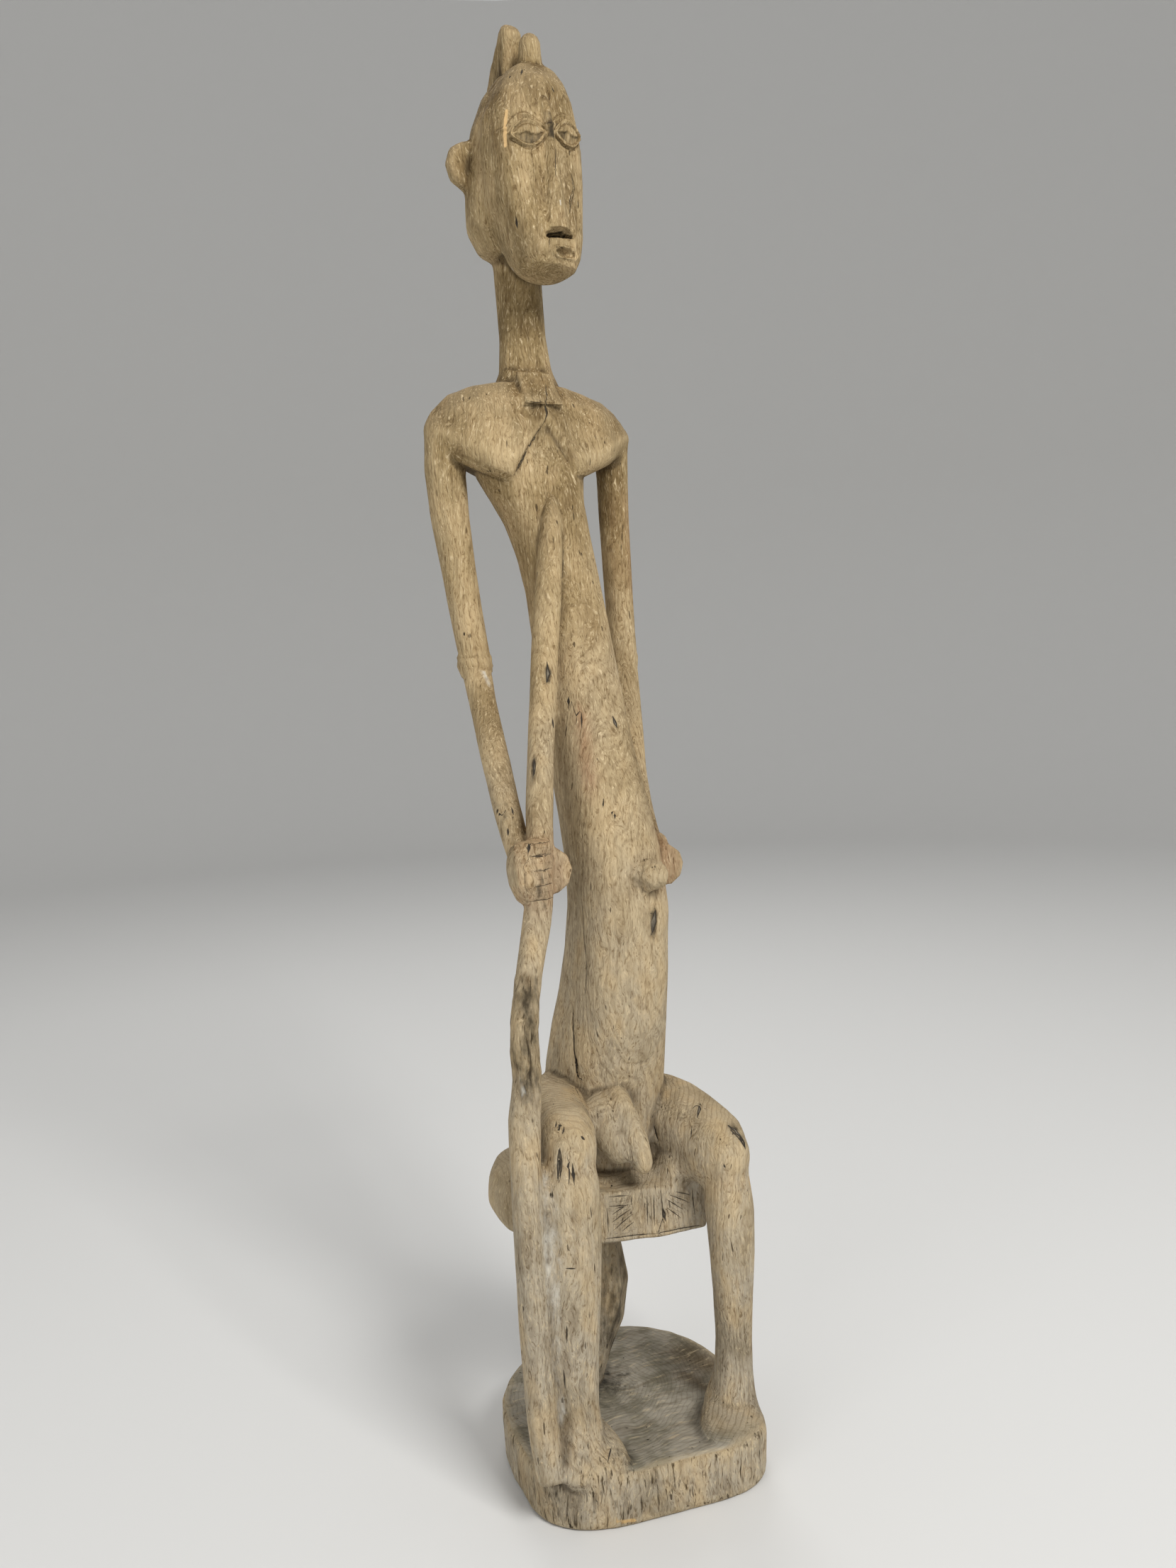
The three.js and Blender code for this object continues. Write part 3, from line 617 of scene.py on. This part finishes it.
# Thinning folds a sliver or two shut, front against back, and those pairs are dropped.
whole = bmesh.new()
whole.from_mesh(carved)
pairs = {}
for face in whole.faces:
    pairs.setdefault(frozenset(vert.index for vert in face.verts), []).append(face)
shut = [face for faces in pairs.values() if len(faces) > 1 for face in faces]
bmesh.ops.delete(whole, geom=shut, context="FACES")
whole.to_mesh(carved)
whole.free()

place = np.clip(points_of(carved), low, high)
put_points(carved, place)
outward = normals_of(carved)


def mark(name, values):
    layer = carved.attributes.new(name, "FLOAT", "POINT")
    layer.data.foreach_set("value", np.asarray(values, np.float32))


cut_side = np.full(len(place), 9.0)
cut_room = np.full(len(place), -3.0)
for line, half, depth in slits:
    near, aside, along = trace(line, place, outward, 10)
    room = half * belly_of(along, line) - 2 * (np.abs(aside) > 8) - (along <= 0) - (along >= 1)
    better = room - np.abs(aside) > cut_room[near] - np.abs(cut_side[near])
    cut_side[near[better]] = aside[better]
    cut_room[near[better]] = room[better]
mark("cut_side", cut_side)
mark("cut_room", cut_room)


def patches(spots):
    """Soft patches, each a line of points with a half width and a strength."""
    total = np.zeros(len(place))
    for line, half, strength in spots:
        near, aside, along = trace(line, place, outward, 2.5 * half + 4, ON_THE_WOOD + half)
        total[near] = np.maximum(total[near], strength * ring_of(aside, 0, half))
    return total


# Grey-white lime and dust caught in the grooves.
mark("chalk", patches([
    ([(-107, -76, 322), (-107, -83, 290), (-107, -84, 250), (-107, -85, 200)], 9, 0.66),
    ([(-107, -85, 220), (-107, -86, 150), (-106, -88, 110)], 9, 0.42),
    ([(57, -34, 268), (60, -34, 245), (60, -34, 226)], 10, 0.5),
    ([(-125, -69, 414), (-122, -73, 398)], 2.2, 0.62),
    ([(-99, 59, 768), (-95, 57, 754)], 4, 0.78),
    ([(-52, 54, 1145), (-52, 54, 1142)], 1.3, 1.0),
    ([(-20, 6, 1191), (-20, 6, 1187)], 1.2, 0.8),
    ([(30, -18, 296), (55, -24, 288)], 5, 0.3),
]))
# Black weather stains round knots, in the fist and on the wetted stretch of the staff, with painted
# shade under the nose, on the stool leg under the seat and in the lower halves of the eyes.
mark("stain_and_shade", patches([
    ([(-93, -68, 590), (-92, -68, 580)], 4, 0.5),
    ([(-96, -68, 574), (-92, -68, 560)], 6, 0.5),
    ([(-116, -72, 490), (-117, -73, 450), (-118, -74, 402)], 18, 0.5),
    ([(-46, 30, 1300), (-20, 22, 1318), (0, 24, 1300)], 24, 0.2),
    ([(-50, 30, 1200), (-52, 34, 1180)], 18, 0.2),
    # Painted shadow in the undercut below the nose.
    ([(-30, 12, 1161), (-10, 16, 1163)], 2.4, 0.9),
    ([(-60, -14, 768), (-61, -16, 756)], 4.5, 0.7),
    ([(-85, -31, 690), (-85, -33, 668)], 3.5, 0.6),
    ([(2, -17, 722), (4, -17, 708)], 3, 0.5),
    ([(19, -53, 540), (17, -54, 520)], 6, 0.7),
    ([(80, -72, 334), (87, -84, 317)], 7, 0.5),
    ([(-21, 22, 1274), (-22, 18, 1252)], 3.4, 0.6),
    ([(-29, 32, 874), (-33, 27, 852)], 3, 0.6),
    ([(27, -12, 327), (31, -16, 300)], 8, 0.45),
    # Painted shade on the stool leg in the shadow of the seat.
    ([(-13, 34, 150), (-14, 32, 80)], 45, 0.48),
    ([(-125, -90, 53), (-106, -85, 15)], 16, 0.3),
    ([(-105, 0, 640), (-106, -24, 612)], 12, 0.3),
    ([(-80, -85, 70), (-58, -90, 66)], 9, 0.3),
# Stain in the eyeballs, with painted shade below their seams.
]) + 0.46 * eye_parts(place)[1])
# Brown damp on top of the base beside the left heel, darkened there with painted shade as well.
mark("damp_and_shade", patches([
    ([(80, 44, 50), (92, 8, 50)], 22, 0.8),
    ([(60, 12, 50), (72, -22, 50)], 9, 0.8),
]))
# Fresh ochre wood where a splinter came away.
mark("fresh", patches([
    ([(-60, 29, 1274), (-62, 28, 1258), (-64, 26, 1242)], 2.1, 0.95),
    ([(-66, -112, 6), (-50, -112, 4)], 4, 0.9),
    ([(86, -72, 296), (88, -76, 262)], 7, 0.45),
]))
# Reddish heartwood.
mark("ruddy", patches([
    ([(-29, -12, 724), (-28, -16, 690), (-26, -24, 655)], 7, 0.8),
    ([(-80, -50, 600), (-80, -50, 572)], 22, 0.5),
    ([(45, -25, 592), (45, -25, 566)], 22, 0.6),
    ([(74, 80, 930), (74, 80, 850)], 14, 0.6),
]))
mark("weathered_grain", np.clip(
    1.1 * eased((58 - place[:, 2]) / 12) * (1 - eased((outward[:, 2] - 0.5) / 0.3))
    + 0.7 * within((-110, -125, 40), (-45, -92, 90), 12)
    + 0.9 * within(*BROKEN_STAFF, 24), 0, 1))

# How deep each point lies in a hollow: its distance below its smoothed surroundings.
evened = {"factor": 0.5, "iterations": HOLLOW_ROUNDS}
around = points_of(one_modifier(carved.copy(), "SMOOTH", evened))
depth = np.einsum("ij,ij->i", around - place, outward)
mark("hollow", np.clip(depth / HOLLOW_DEPTH, -1, 1))

carved.polygons.foreach_set("use_smooth", np.ones(len(carved.polygons), bool))
figure = bpy.data.objects.new("carved_figure", carved)
bpy.context.scene.collection.objects.link(figure)

# Weathered hardwood, adzed and knife-cut, never oiled: dry and matt, honey brown above and
# greyer towards the damp ground. The eye reads long wavy fibres a millimetre or two wide,
# growth rings where the cut slants across them, short drying checks and black pin holes.

RING_WIDTH = 4.4
FIBRE_WIDTH = 1.5
STRAND_WIDTH = 4.5
SWAY_LENGTH = 48
CURL_LENGTH = 9
FURROW_WIDTH = 2.4
FLAKE_WIDTH = 9
CHECK_WIDTH = 3.4
BLOTCH_WIDTH = 90
TINT_WIDTH = 30
PIN_HOLE_SPACING = 46
LOG_HEART = (-12, 40, 0)


def linear(code):
    """An sRGB hex colour as the linear colour that a shader takes."""
    channels = [int(code[index:index + 2], 16) / 255 for index in (1, 3, 5)]
    return tuple(
        value / 12.92 if value <= 0.04045 else ((value + 0.055) / 1.055) ** 2.4
        for value in channels
    ) + (1.0,)


weathered_hardwood = bpy.data.materials.new("weathered_hardwood")
weathered_hardwood.use_nodes = True
shader_tree = weathered_hardwood.node_tree
shader_tree.nodes.clear()


def add(kind, settings, inputs, output=0):
    """Adds a node with its settings and inputs, fixed or linked, and gives one output."""
    made = shader_tree.nodes.new(kind)
    for name, value in settings.items():
        setattr(made, name, value)
    for name, value in inputs.items():
        if isinstance(value, bpy.types.NodeSocket):
            shader_tree.links.new(value, made.inputs[name])
        else:
            made.inputs[name].default_value = value
    return made.outputs[output] if made.outputs else made


MATH = "ShaderNodeMath"
MIX = "ShaderNodeMix"
RAMP = "ShaderNodeMapRange"
NOISE = "ShaderNodeTexNoise"
VECTOR = "ShaderNodeVectorMath"
COLOUR = {"data_type": "RGBA"}
DARKEN = {"data_type": "RGBA", "blend_type": "MULTIPLY"}
SMOOTH = {"interpolation_type": "SMOOTHSTEP"}

millimetres = add("ShaderNodeMapping", {}, {
    "Vector": add("ShaderNodeTexCoord", {}, {}, 3), "Scale": (1000, 1000, 1000)})
loose = add("ShaderNodeMapping", {}, {"Vector": millimetres, "Scale": (1, 1, 0.45)})
sway = add(NOISE, {}, {"Vector": loose, "Scale": 1 / SWAY_LENGTH, "Detail": 2.5}, 1)
swung = add(VECTOR, {"operation": "MULTIPLY_ADD"}, {0: sway, 1: (26, 26, 10), 2: millimetres})
curl = add(NOISE, {}, {"Vector": loose, "Scale": 1 / CURL_LENGTH, "Detail": 2}, 1)
curled = add(VECTOR, {"operation": "MULTIPLY_ADD"}, {0: curl, 1: (11, 11, 0), 2: swung})
upright = add("ShaderNodeMapping", {}, {"Vector": curled, "Scale": (1, 1, 0.13)})
lying = add("ShaderNodeMapping", {}, {"Vector": swung, "Rotation": (0, 0, math.radians(22)),
                                      "Scale": (0.07, 0.4, 0.4)})
height = add("ShaderNodeSeparateXYZ", {}, {0: millimetres}, 2)
facing_up = add("ShaderNodeSeparateXYZ", {}, {0: add("ShaderNodeNewGeometry", {}, {}, 1)}, 2)
trodden = add(RAMP, SMOOTH, {"Value": facing_up, "From Min": 0.5, "From Max": 0.85})
near_ground = add(RAMP, SMOOTH, {"Value": height, "From Min": 62.0, "From Max": 52.0})
trodden = add(MATH, {"operation": "MULTIPLY"}, {0: trodden, 1: near_ground})
stretched = add(MIX, {"data_type": "VECTOR"}, {0: trodden, 4: upright, 5: lying}, 1)
end_grain = add(RAMP, SMOOTH, {"Value": facing_up, "From Min": 0.5, "From Max": 0.9})
end_grain = add(MATH, {"operation": "SUBTRACT", "use_clamp": True}, {0: end_grain, 1: trodden})

fibre = add(NOISE, {}, {"Vector": stretched, "Scale": 1 / FIBRE_WIDTH, "Detail": 3,
                        "Roughness": 0.6})
strand = add(NOISE, {}, {"Vector": stretched, "Scale": 1 / STRAND_WIDTH, "Detail": 3,
                         "Roughness": 0.55})
centred = add("ShaderNodeMapping", {}, {"Vector": swung, "Location": tuple(-v for v in LOG_HEART),
                                        "Scale": (1, 1, 0.35)})
rings = add("ShaderNodeTexWave", {"wave_type": "RINGS", "rings_direction": "Z"}, {
    "Vector": centred, "Scale": 0.314 / RING_WIDTH, "Distortion": 2.2, "Detail": 2,
    "Detail Scale": 0.5}, 1)
blotch = add(NOISE, {}, {"Vector": millimetres, "Scale": 1 / BLOTCH_WIDTH, "Detail": 3})
tint = add(NOISE, {}, {"Vector": loose, "Scale": 1 / TINT_WIDTH, "Detail": 4, "Roughness": 0.6})
short = add("ShaderNodeMapping", {}, {"Vector": swung, "Scale": (1, 1, 0.2)})
checks = add(NOISE, {}, {"Vector": short, "Scale": 1 / CHECK_WIDTH, "Detail": 1.2,
                         "Roughness": 0.3})
checks = add(RAMP, SMOOTH, {"Value": checks, "From Min": 0.745, "From Max": 0.785})
pins = add("ShaderNodeTexVoronoi", {}, {"Scale": 1 / PIN_HOLE_SPACING, "Vector": add(
    "ShaderNodeMapping", {}, {"Vector": millimetres, "Scale": (1, 1, 0.45)})})
pins = add(RAMP, SMOOTH, {"Value": pins, "From Min": 0.024, "From Max": 0.012})
upright_grain = add("ShaderNodeMapping", {}, {"Vector": swung, "Scale": (1, 1, 0.07)})
furrow = add(NOISE, {}, {"Vector": upright_grain, "Scale": 1 / FURROW_WIDTH, "Detail": 2,
                         "Roughness": 0.55})
flake = add(NOISE, {}, {"Vector": loose, "Scale": 1 / FLAKE_WIDTH, "Detail": 4,
                        "Roughness": 0.6})

damp = add(RAMP, {}, {"Value": height, "From Min": 980.0, "From Max": 90.0})
damp = add(MATH, {"operation": "MULTIPLY_ADD"}, {0: blotch, 1: 0.8, 2: damp})
damp = add(RAMP, {}, {"Value": damp, "From Min": 0.36, "From Max": 1.32})

tone = add(MIX, COLOUR, {0: damp, 6: linear("#b59c6f"), 7: linear("#aba08c")}, 2)
# The upper body is painted darker from chest height up: painted shade that holds back the light
# falling there.
upper_shade = add(RAMP, SMOOTH, {"Value": height, "From Min": 780.0, "From Max": 990.0})
tone = add(MIX, DARKEN, {0: upper_shade, 6: tone, 7: linear("#d8d8d6")}, 2)
honey = add(RAMP, SMOOTH, {"Value": tint, "From Min": 0.44, "From Max": 0.68})
honey = add(MATH, {"operation": "MULTIPLY"}, {0: honey, 1: 0.6})
tone = add(MIX, COLOUR, {0: honey, 6: tone, 7: linear("#c2a980")}, 2)
umber = add(RAMP, SMOOTH, {"Value": tint, "From Min": 0.5, "From Max": 0.28})
umber = add(MATH, {"operation": "MULTIPLY"}, {0: umber, 1: 0.6})
tone = add(MIX, DARKEN, {0: umber, 6: tone, 7: linear("#b5a68c")}, 2)
ashen = add(RAMP, SMOOTH, {"Value": blotch, "From Min": 0.52, "From Max": 0.34})
ashen = add(MATH, {"operation": "MULTIPLY"}, {0: ashen, 1: 0.45})
tone = add(MIX, DARKEN, {0: ashen, 6: tone, 7: linear("#b9b4a6")}, 2)
# Faces turned to the sky are painted darker: painted shade against the light from above, strongest
# on the upper body.
upward_shade = add(RAMP, SMOOTH, {"Value": facing_up, "From Min": 0.02, "From Max": 0.6})
tone = add(MIX, DARKEN, {0: upward_shade, 6: tone, 7: linear("#d9d5cd")}, 2)
upward_shade = add(MATH, {"operation": "MULTIPLY"}, {0: upward_shade, 1: upper_shade})
tone = add(MIX, DARKEN, {0: upward_shade, 6: tone, 7: linear("#dcd6ca")}, 2)


def attribute(name):
    return add("ShaderNodeAttribute", {"attribute_name": name}, {}, 2)


# The top of the base is trodden grey, brown with damp and painted shade beside the left heel.
mottled = add(RAMP, SMOOTH, {"Value": tint, "From Min": 0.36, "From Max": 0.62})
mottled = add(MIX, COLOUR, {0: mottled, 6: linear("#6f6959"), 7: linear("#8f8879")}, 2)
tone = add(MIX, COLOUR, {0: trodden, 6: tone, 7: mottled}, 2)
tone = add(MIX, DARKEN, {0: attribute("damp_and_shade"), 6: tone, 7: linear("#a08a66")}, 2)
ruddy = add(MATH, {"operation": "MULTIPLY"}, {0: attribute("ruddy"), 1: strand})
tone = add(MIX, COLOUR, {0: ruddy, 6: tone, 7: linear("#9a6a4a")}, 2)

# Dark and light fibres, then the growth rings.
dark_fibre = add(RAMP, SMOOTH, {"Value": fibre, "From Min": 0.5, "From Max": 0.3})
dark_fibre = add(MATH, {"operation": "MULTIPLY"}, {0: dark_fibre, 1: 0.75})
open_grain = add(MATH, {"operation": "MULTIPLY_ADD"}, {0: end_grain, 1: -0.7, 2: 1.0})
open_grain = add(MATH, {"operation": "MULTIPLY_ADD"}, {0: trodden, 1: -0.55, 2: open_grain})
dark_fibre = add(MATH, {"operation": "MULTIPLY"}, {0: dark_fibre, 1: open_grain})
tone = add(MIX, DARKEN, {0: dark_fibre, 6: tone, 7: linear("#9c8a6c")}, 2)
pale_fibre = add(RAMP, SMOOTH, {"Value": fibre, "From Min": 0.54, "From Max": 0.74})
pale_fibre = add(MATH, {"operation": "MULTIPLY"}, {0: pale_fibre, 1: 0.75})
pale_fibre = add(MATH, {"operation": "MULTIPLY"}, {0: pale_fibre, 1: open_grain})
tone = add(MIX, COLOUR, {0: pale_fibre, 6: tone, 7: linear("#d3bf9a")}, 2)
ring_dark = add(RAMP, SMOOTH, {"Value": rings, "From Min": 0.7, "From Max": 0.97})
ring_share = add(MATH, {"operation": "MULTIPLY_ADD"}, {0: end_grain, 1: 0.15, 2: 0.22})
ring_dark = add(MATH, {"operation": "MULTIPLY"}, {0: ring_dark, 1: ring_share})
tone = add(MIX, DARKEN, {0: ring_dark, 6: tone, 7: linear("#8f7a5c")}, 2)
strand_dark = add(RAMP, SMOOTH, {"Value": strand, "From Min": 0.46, "From Max": 0.3})
strand_dark = add(MATH, {"operation": "MULTIPLY"}, {0: strand_dark, 1: 0.3})
tone = add(MIX, DARKEN, {0: strand_dark, 6: tone, 7: linear("#a18d70")}, 2)

# Hollows are darkened with painted shade, and edges are rubbed pale.
hollow = attribute("hollow")
hollow_shade = add(RAMP, SMOOTH, {"Value": hollow, "From Min": 0.06, "From Max": 0.75})
hollow_shade = add(MATH, {"operation": "MULTIPLY"}, {0: hollow_shade, 1: 0.6})
tone = add(MIX, DARKEN, {0: hollow_shade, 6: tone, 7: linear("#5d4f3d")}, 2)
rubbed = add(RAMP, SMOOTH, {"Value": hollow, "From Min": -0.25, "From Max": -1.0})
rubbed = add(MATH, {"operation": "MULTIPLY"}, {0: rubbed, 1: 0.2})
tone = add(MIX, COLOUR, {0: rubbed, 6: tone, 7: linear("#cdb78f")}, 2)

# Furrows of the eroded grain, stains with painted shade, lime, fresh splinters.
eroded = attribute("weathered_grain")
furrow = add(RAMP, SMOOTH, {"Value": furrow, "From Min": 0.44, "From Max": 0.28})
furrow = add(MATH, {"operation": "MULTIPLY"}, {0: furrow, 1: eroded})
tone = add(MIX, DARKEN, {0: furrow, 6: tone, 7: linear("#7d7462")}, 2)
stain_and_shade = add(MATH, {"operation": "MULTIPLY_ADD"}, {0: flake, 1: 1.1, 2: attribute("stain_and_shade")})
stain_and_shade = add(MATH, {"operation": "MULTIPLY_ADD"}, {0: fibre, 1: 0.4, 2: stain_and_shade})
stain_and_shade = add(RAMP, SMOOTH, {"Value": stain_and_shade, "From Min": 0.98, "From Max": 1.5})
tone = add(MIX, DARKEN, {0: stain_and_shade, 6: tone, 7: linear("#625f59")}, 2)
lime = add(MATH, {"operation": "MULTIPLY_ADD"}, {0: flake, 1: 1.4, 2: attribute("chalk")})
lime = add(RAMP, SMOOTH, {"Value": lime, "From Min": 1.0, "From Max": 1.75})
tone = add(MIX, COLOUR, {0: lime, 6: tone, 7: linear("#c9c4b7")}, 2)
splinter = add(MATH, {"operation": "MULTIPLY_ADD"}, {0: flake, 1: 0.8, 2: attribute("fresh")})
splinter = add(RAMP, SMOOTH, {"Value": splinter, "From Min": 0.75, "From Max": 1.15})
tone = add(MIX, COLOUR, {0: splinter, 6: tone, 7: linear("#c7a674")}, 2)

# Dark bottoms of cracks and slits, drying checks and pin holes.
wander = add(MATH, {"operation": "MULTIPLY_ADD"}, {0: tint, 1: 3.0, 2: -1.5})
aside = add(MATH, {"operation": "ADD"}, {0: attribute("cut_side"), 1: wander})
aside = add(MATH, {"operation": "ABSOLUTE"}, {0: aside})
room = add(MATH, {"operation": "SUBTRACT"}, {0: attribute("cut_room"), 1: aside})
cut = add(RAMP, SMOOTH, {"Value": room, "From Min": -0.35, "From Max": 0.3})
scar = add(RAMP, SMOOTH, {"Value": room, "From Min": 0.5, "From Max": 1.5})
scar = add(MATH, {"operation": "MULTIPLY"}, {
    0: scar, 1: add(RAMP, SMOOTH, {"Value": flake, "From Min": 0.4, "From Max": 0.62})})
bottom = add(MIX, COLOUR, {0: scar, 6: linear("#352f27"), 7: linear("#7a7161")}, 2)
tone = add(MIX, COLOUR, {0: cut, 6: tone, 7: bottom}, 2)
checked = add(MATH, {"operation": "MULTIPLY"}, {0: checks, 1: 0.75})
tone = add(MIX, DARKEN, {0: checked, 6: tone, 7: linear("#5a4c3a")}, 2)
tone = add(MIX, DARKEN, {0: pins, 6: tone, 7: linear("#4a4035")}, 2)

# Relief in millimetres: fibres, strands and rings stand up, cracks and checks go in.
relief = add(MATH, {"operation": "MULTIPLY"}, {0: fibre, 1: open_grain})
relief = add(MATH, {"operation": "MULTIPLY_ADD"}, {0: strand, 1: 0.9, 2: relief})
relief = add(MATH, {"operation": "MULTIPLY_ADD"}, {0: rings, 1: -0.12, 2: relief})
relief = add(MATH, {"operation": "MULTIPLY_ADD"}, {0: furrow, 1: -0.7, 2: relief})
relief = add(MATH, {"operation": "MULTIPLY_ADD"}, {0: flake, 1: 1.0, 2: relief})
relief = add(MATH, {"operation": "MULTIPLY_ADD"}, {0: cut, 1: -1.0, 2: relief})
relief = add(MATH, {"operation": "MULTIPLY_ADD"}, {0: checks, 1: -0.6, 2: relief})
relief = add(MATH, {"operation": "MULTIPLY_ADD"}, {0: pins, 1: -0.6, 2: relief})
bump = add("ShaderNodeBump", {}, {"Height": relief, "Distance": MM, "Strength": 0.9})
roughness = add(RAMP, {}, {"Value": strand, "From Min": 0.3, "From Max": 0.7, "To Min": 0.92,
                           "To Max": 0.74})
surface = add("ShaderNodeBsdfPrincipled", {}, {
    "Base Color": tone, "Roughness": roughness, "Normal": bump, "IOR": 1.45,
    "Specular IOR Level": 0.3})
add("ShaderNodeOutputMaterial", {}, {"Surface": surface})

carved.materials.clear()
carved.materials.append(weathered_hardwood)
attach(figure, "root")
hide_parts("figure")


# Studio
#
# A pale floor, soft light from above and the camera where the photograph was taken from: chest
# height, a little over a metre away and to the figure's right.

FOCAL_PIXELS = 1662
PICTURE_HEIGHT = 2212
CAMERA_PLACE = (-0.4342, -1.0239, 0.745)
CAMERA_TURN = math.radians(22)
CAMERA_PITCH = math.radians(4.5)
CAMERA_ROLL = math.radians(2.5)

FLOOR_RADIUS = 4.5
CURVE_RADIUS = 2.0
WALL_HEIGHT = 5.0
SPOKES = 96

# A round floor that sweeps up into a wall, as a studio's paper does, so no horizon shows.
rounds = [(0.01, 0.0), (FLOOR_RADIUS, 0.0)]
for step in range(1, 13):
    angle = math.pi / 2 * step / 12
    rounds.append((FLOOR_RADIUS + CURVE_RADIUS * math.sin(angle),
                   CURVE_RADIUS * (1 - math.cos(angle))))
rounds.append((FLOOR_RADIUS + CURVE_RADIUS, WALL_HEIGHT))
corners = [
    (radius * math.cos(2 * math.pi * spoke / SPOKES),
     radius * math.sin(2 * math.pi * spoke / SPOKES), up)
    for radius, up in rounds for spoke in range(SPOKES)
]
sheets = [
    (row * SPOKES + spoke, row * SPOKES + (spoke + 1) % SPOKES,
     (row + 1) * SPOKES + (spoke + 1) % SPOKES, (row + 1) * SPOKES + spoke)
    for row in range(len(rounds) - 1) for spoke in range(SPOKES)
]
sheets.append(tuple(range(SPOKES)))
floor_mesh = bpy.data.meshes.new("floor")
floor_mesh.from_pydata(corners, [], sheets)
floor_mesh.polygons.foreach_set("use_smooth", np.ones(len(sheets), bool))
floor = bpy.data.objects.new("floor", floor_mesh)
bpy.context.scene.collection.objects.link(floor)
pale = bpy.data.materials.new("pale_floor")
pale.use_nodes = True
pale.node_tree.nodes["Principled BSDF"].inputs["Base Color"].default_value = linear("#cfcecb")
pale.node_tree.nodes["Principled BSDF"].inputs["Roughness"].default_value = 0.9
floor_mesh.materials.append(pale)

world = bpy.data.worlds.new("studio")
world.use_nodes = True
world.node_tree.nodes["Background"].inputs["Color"].default_value = linear("#e3e4e6")
world.node_tree.nodes["Background"].inputs["Strength"].default_value = 0.75
bpy.context.scene.world = world
bpy.context.scene.view_settings.view_transform = "Standard"

for name, spot, size, power in (
    ("key", (0.5, -2.4, 2.9), 1.1, 100),
    ("fill", (-2.4, -1.6, 1.4), 1.8, 20),
    ("back", (0.6, 2.0, 2.6), 1.2, 18),
):
    light = bpy.data.lights.new(name, "AREA")
    light.size = size
    light.energy = power
    lamp = bpy.data.objects.new(name, light)
    lamp.location = spot
    aim = Vector((0, 0, 0.7)) - Vector(spot)
    lamp.rotation_euler = aim.to_track_quat("-Z", "Y").to_euler()
    bpy.context.scene.collection.objects.link(lamp)

level = Vector((math.sin(CAMERA_TURN), math.cos(CAMERA_TURN), 0))
right = Vector((math.cos(CAMERA_TURN), -math.sin(CAMERA_TURN), 0))
up = Vector((0, 0, 1))
ahead = level * math.cos(CAMERA_PITCH) - up * math.sin(CAMERA_PITCH)
top_way = up * math.cos(CAMERA_PITCH) + level * math.sin(CAMERA_PITCH)
across_way = right * math.cos(CAMERA_ROLL) - top_way * math.sin(CAMERA_ROLL)
top_way = top_way * math.cos(CAMERA_ROLL) + right * math.sin(CAMERA_ROLL)
lens = bpy.data.cameras.new("camera")
lens.sensor_fit = "VERTICAL"
lens.sensor_height = 36
lens.lens = lens.sensor_height * FOCAL_PIXELS / PICTURE_HEIGHT
camera = bpy.data.objects.new("camera", lens)
turn = Matrix((across_way, top_way, -ahead)).transposed().to_4x4()
camera.matrix_world = Matrix.Translation(CAMERA_PLACE) @ turn
bpy.context.scene.collection.objects.link(camera)
bpy.context.scene.camera = camera
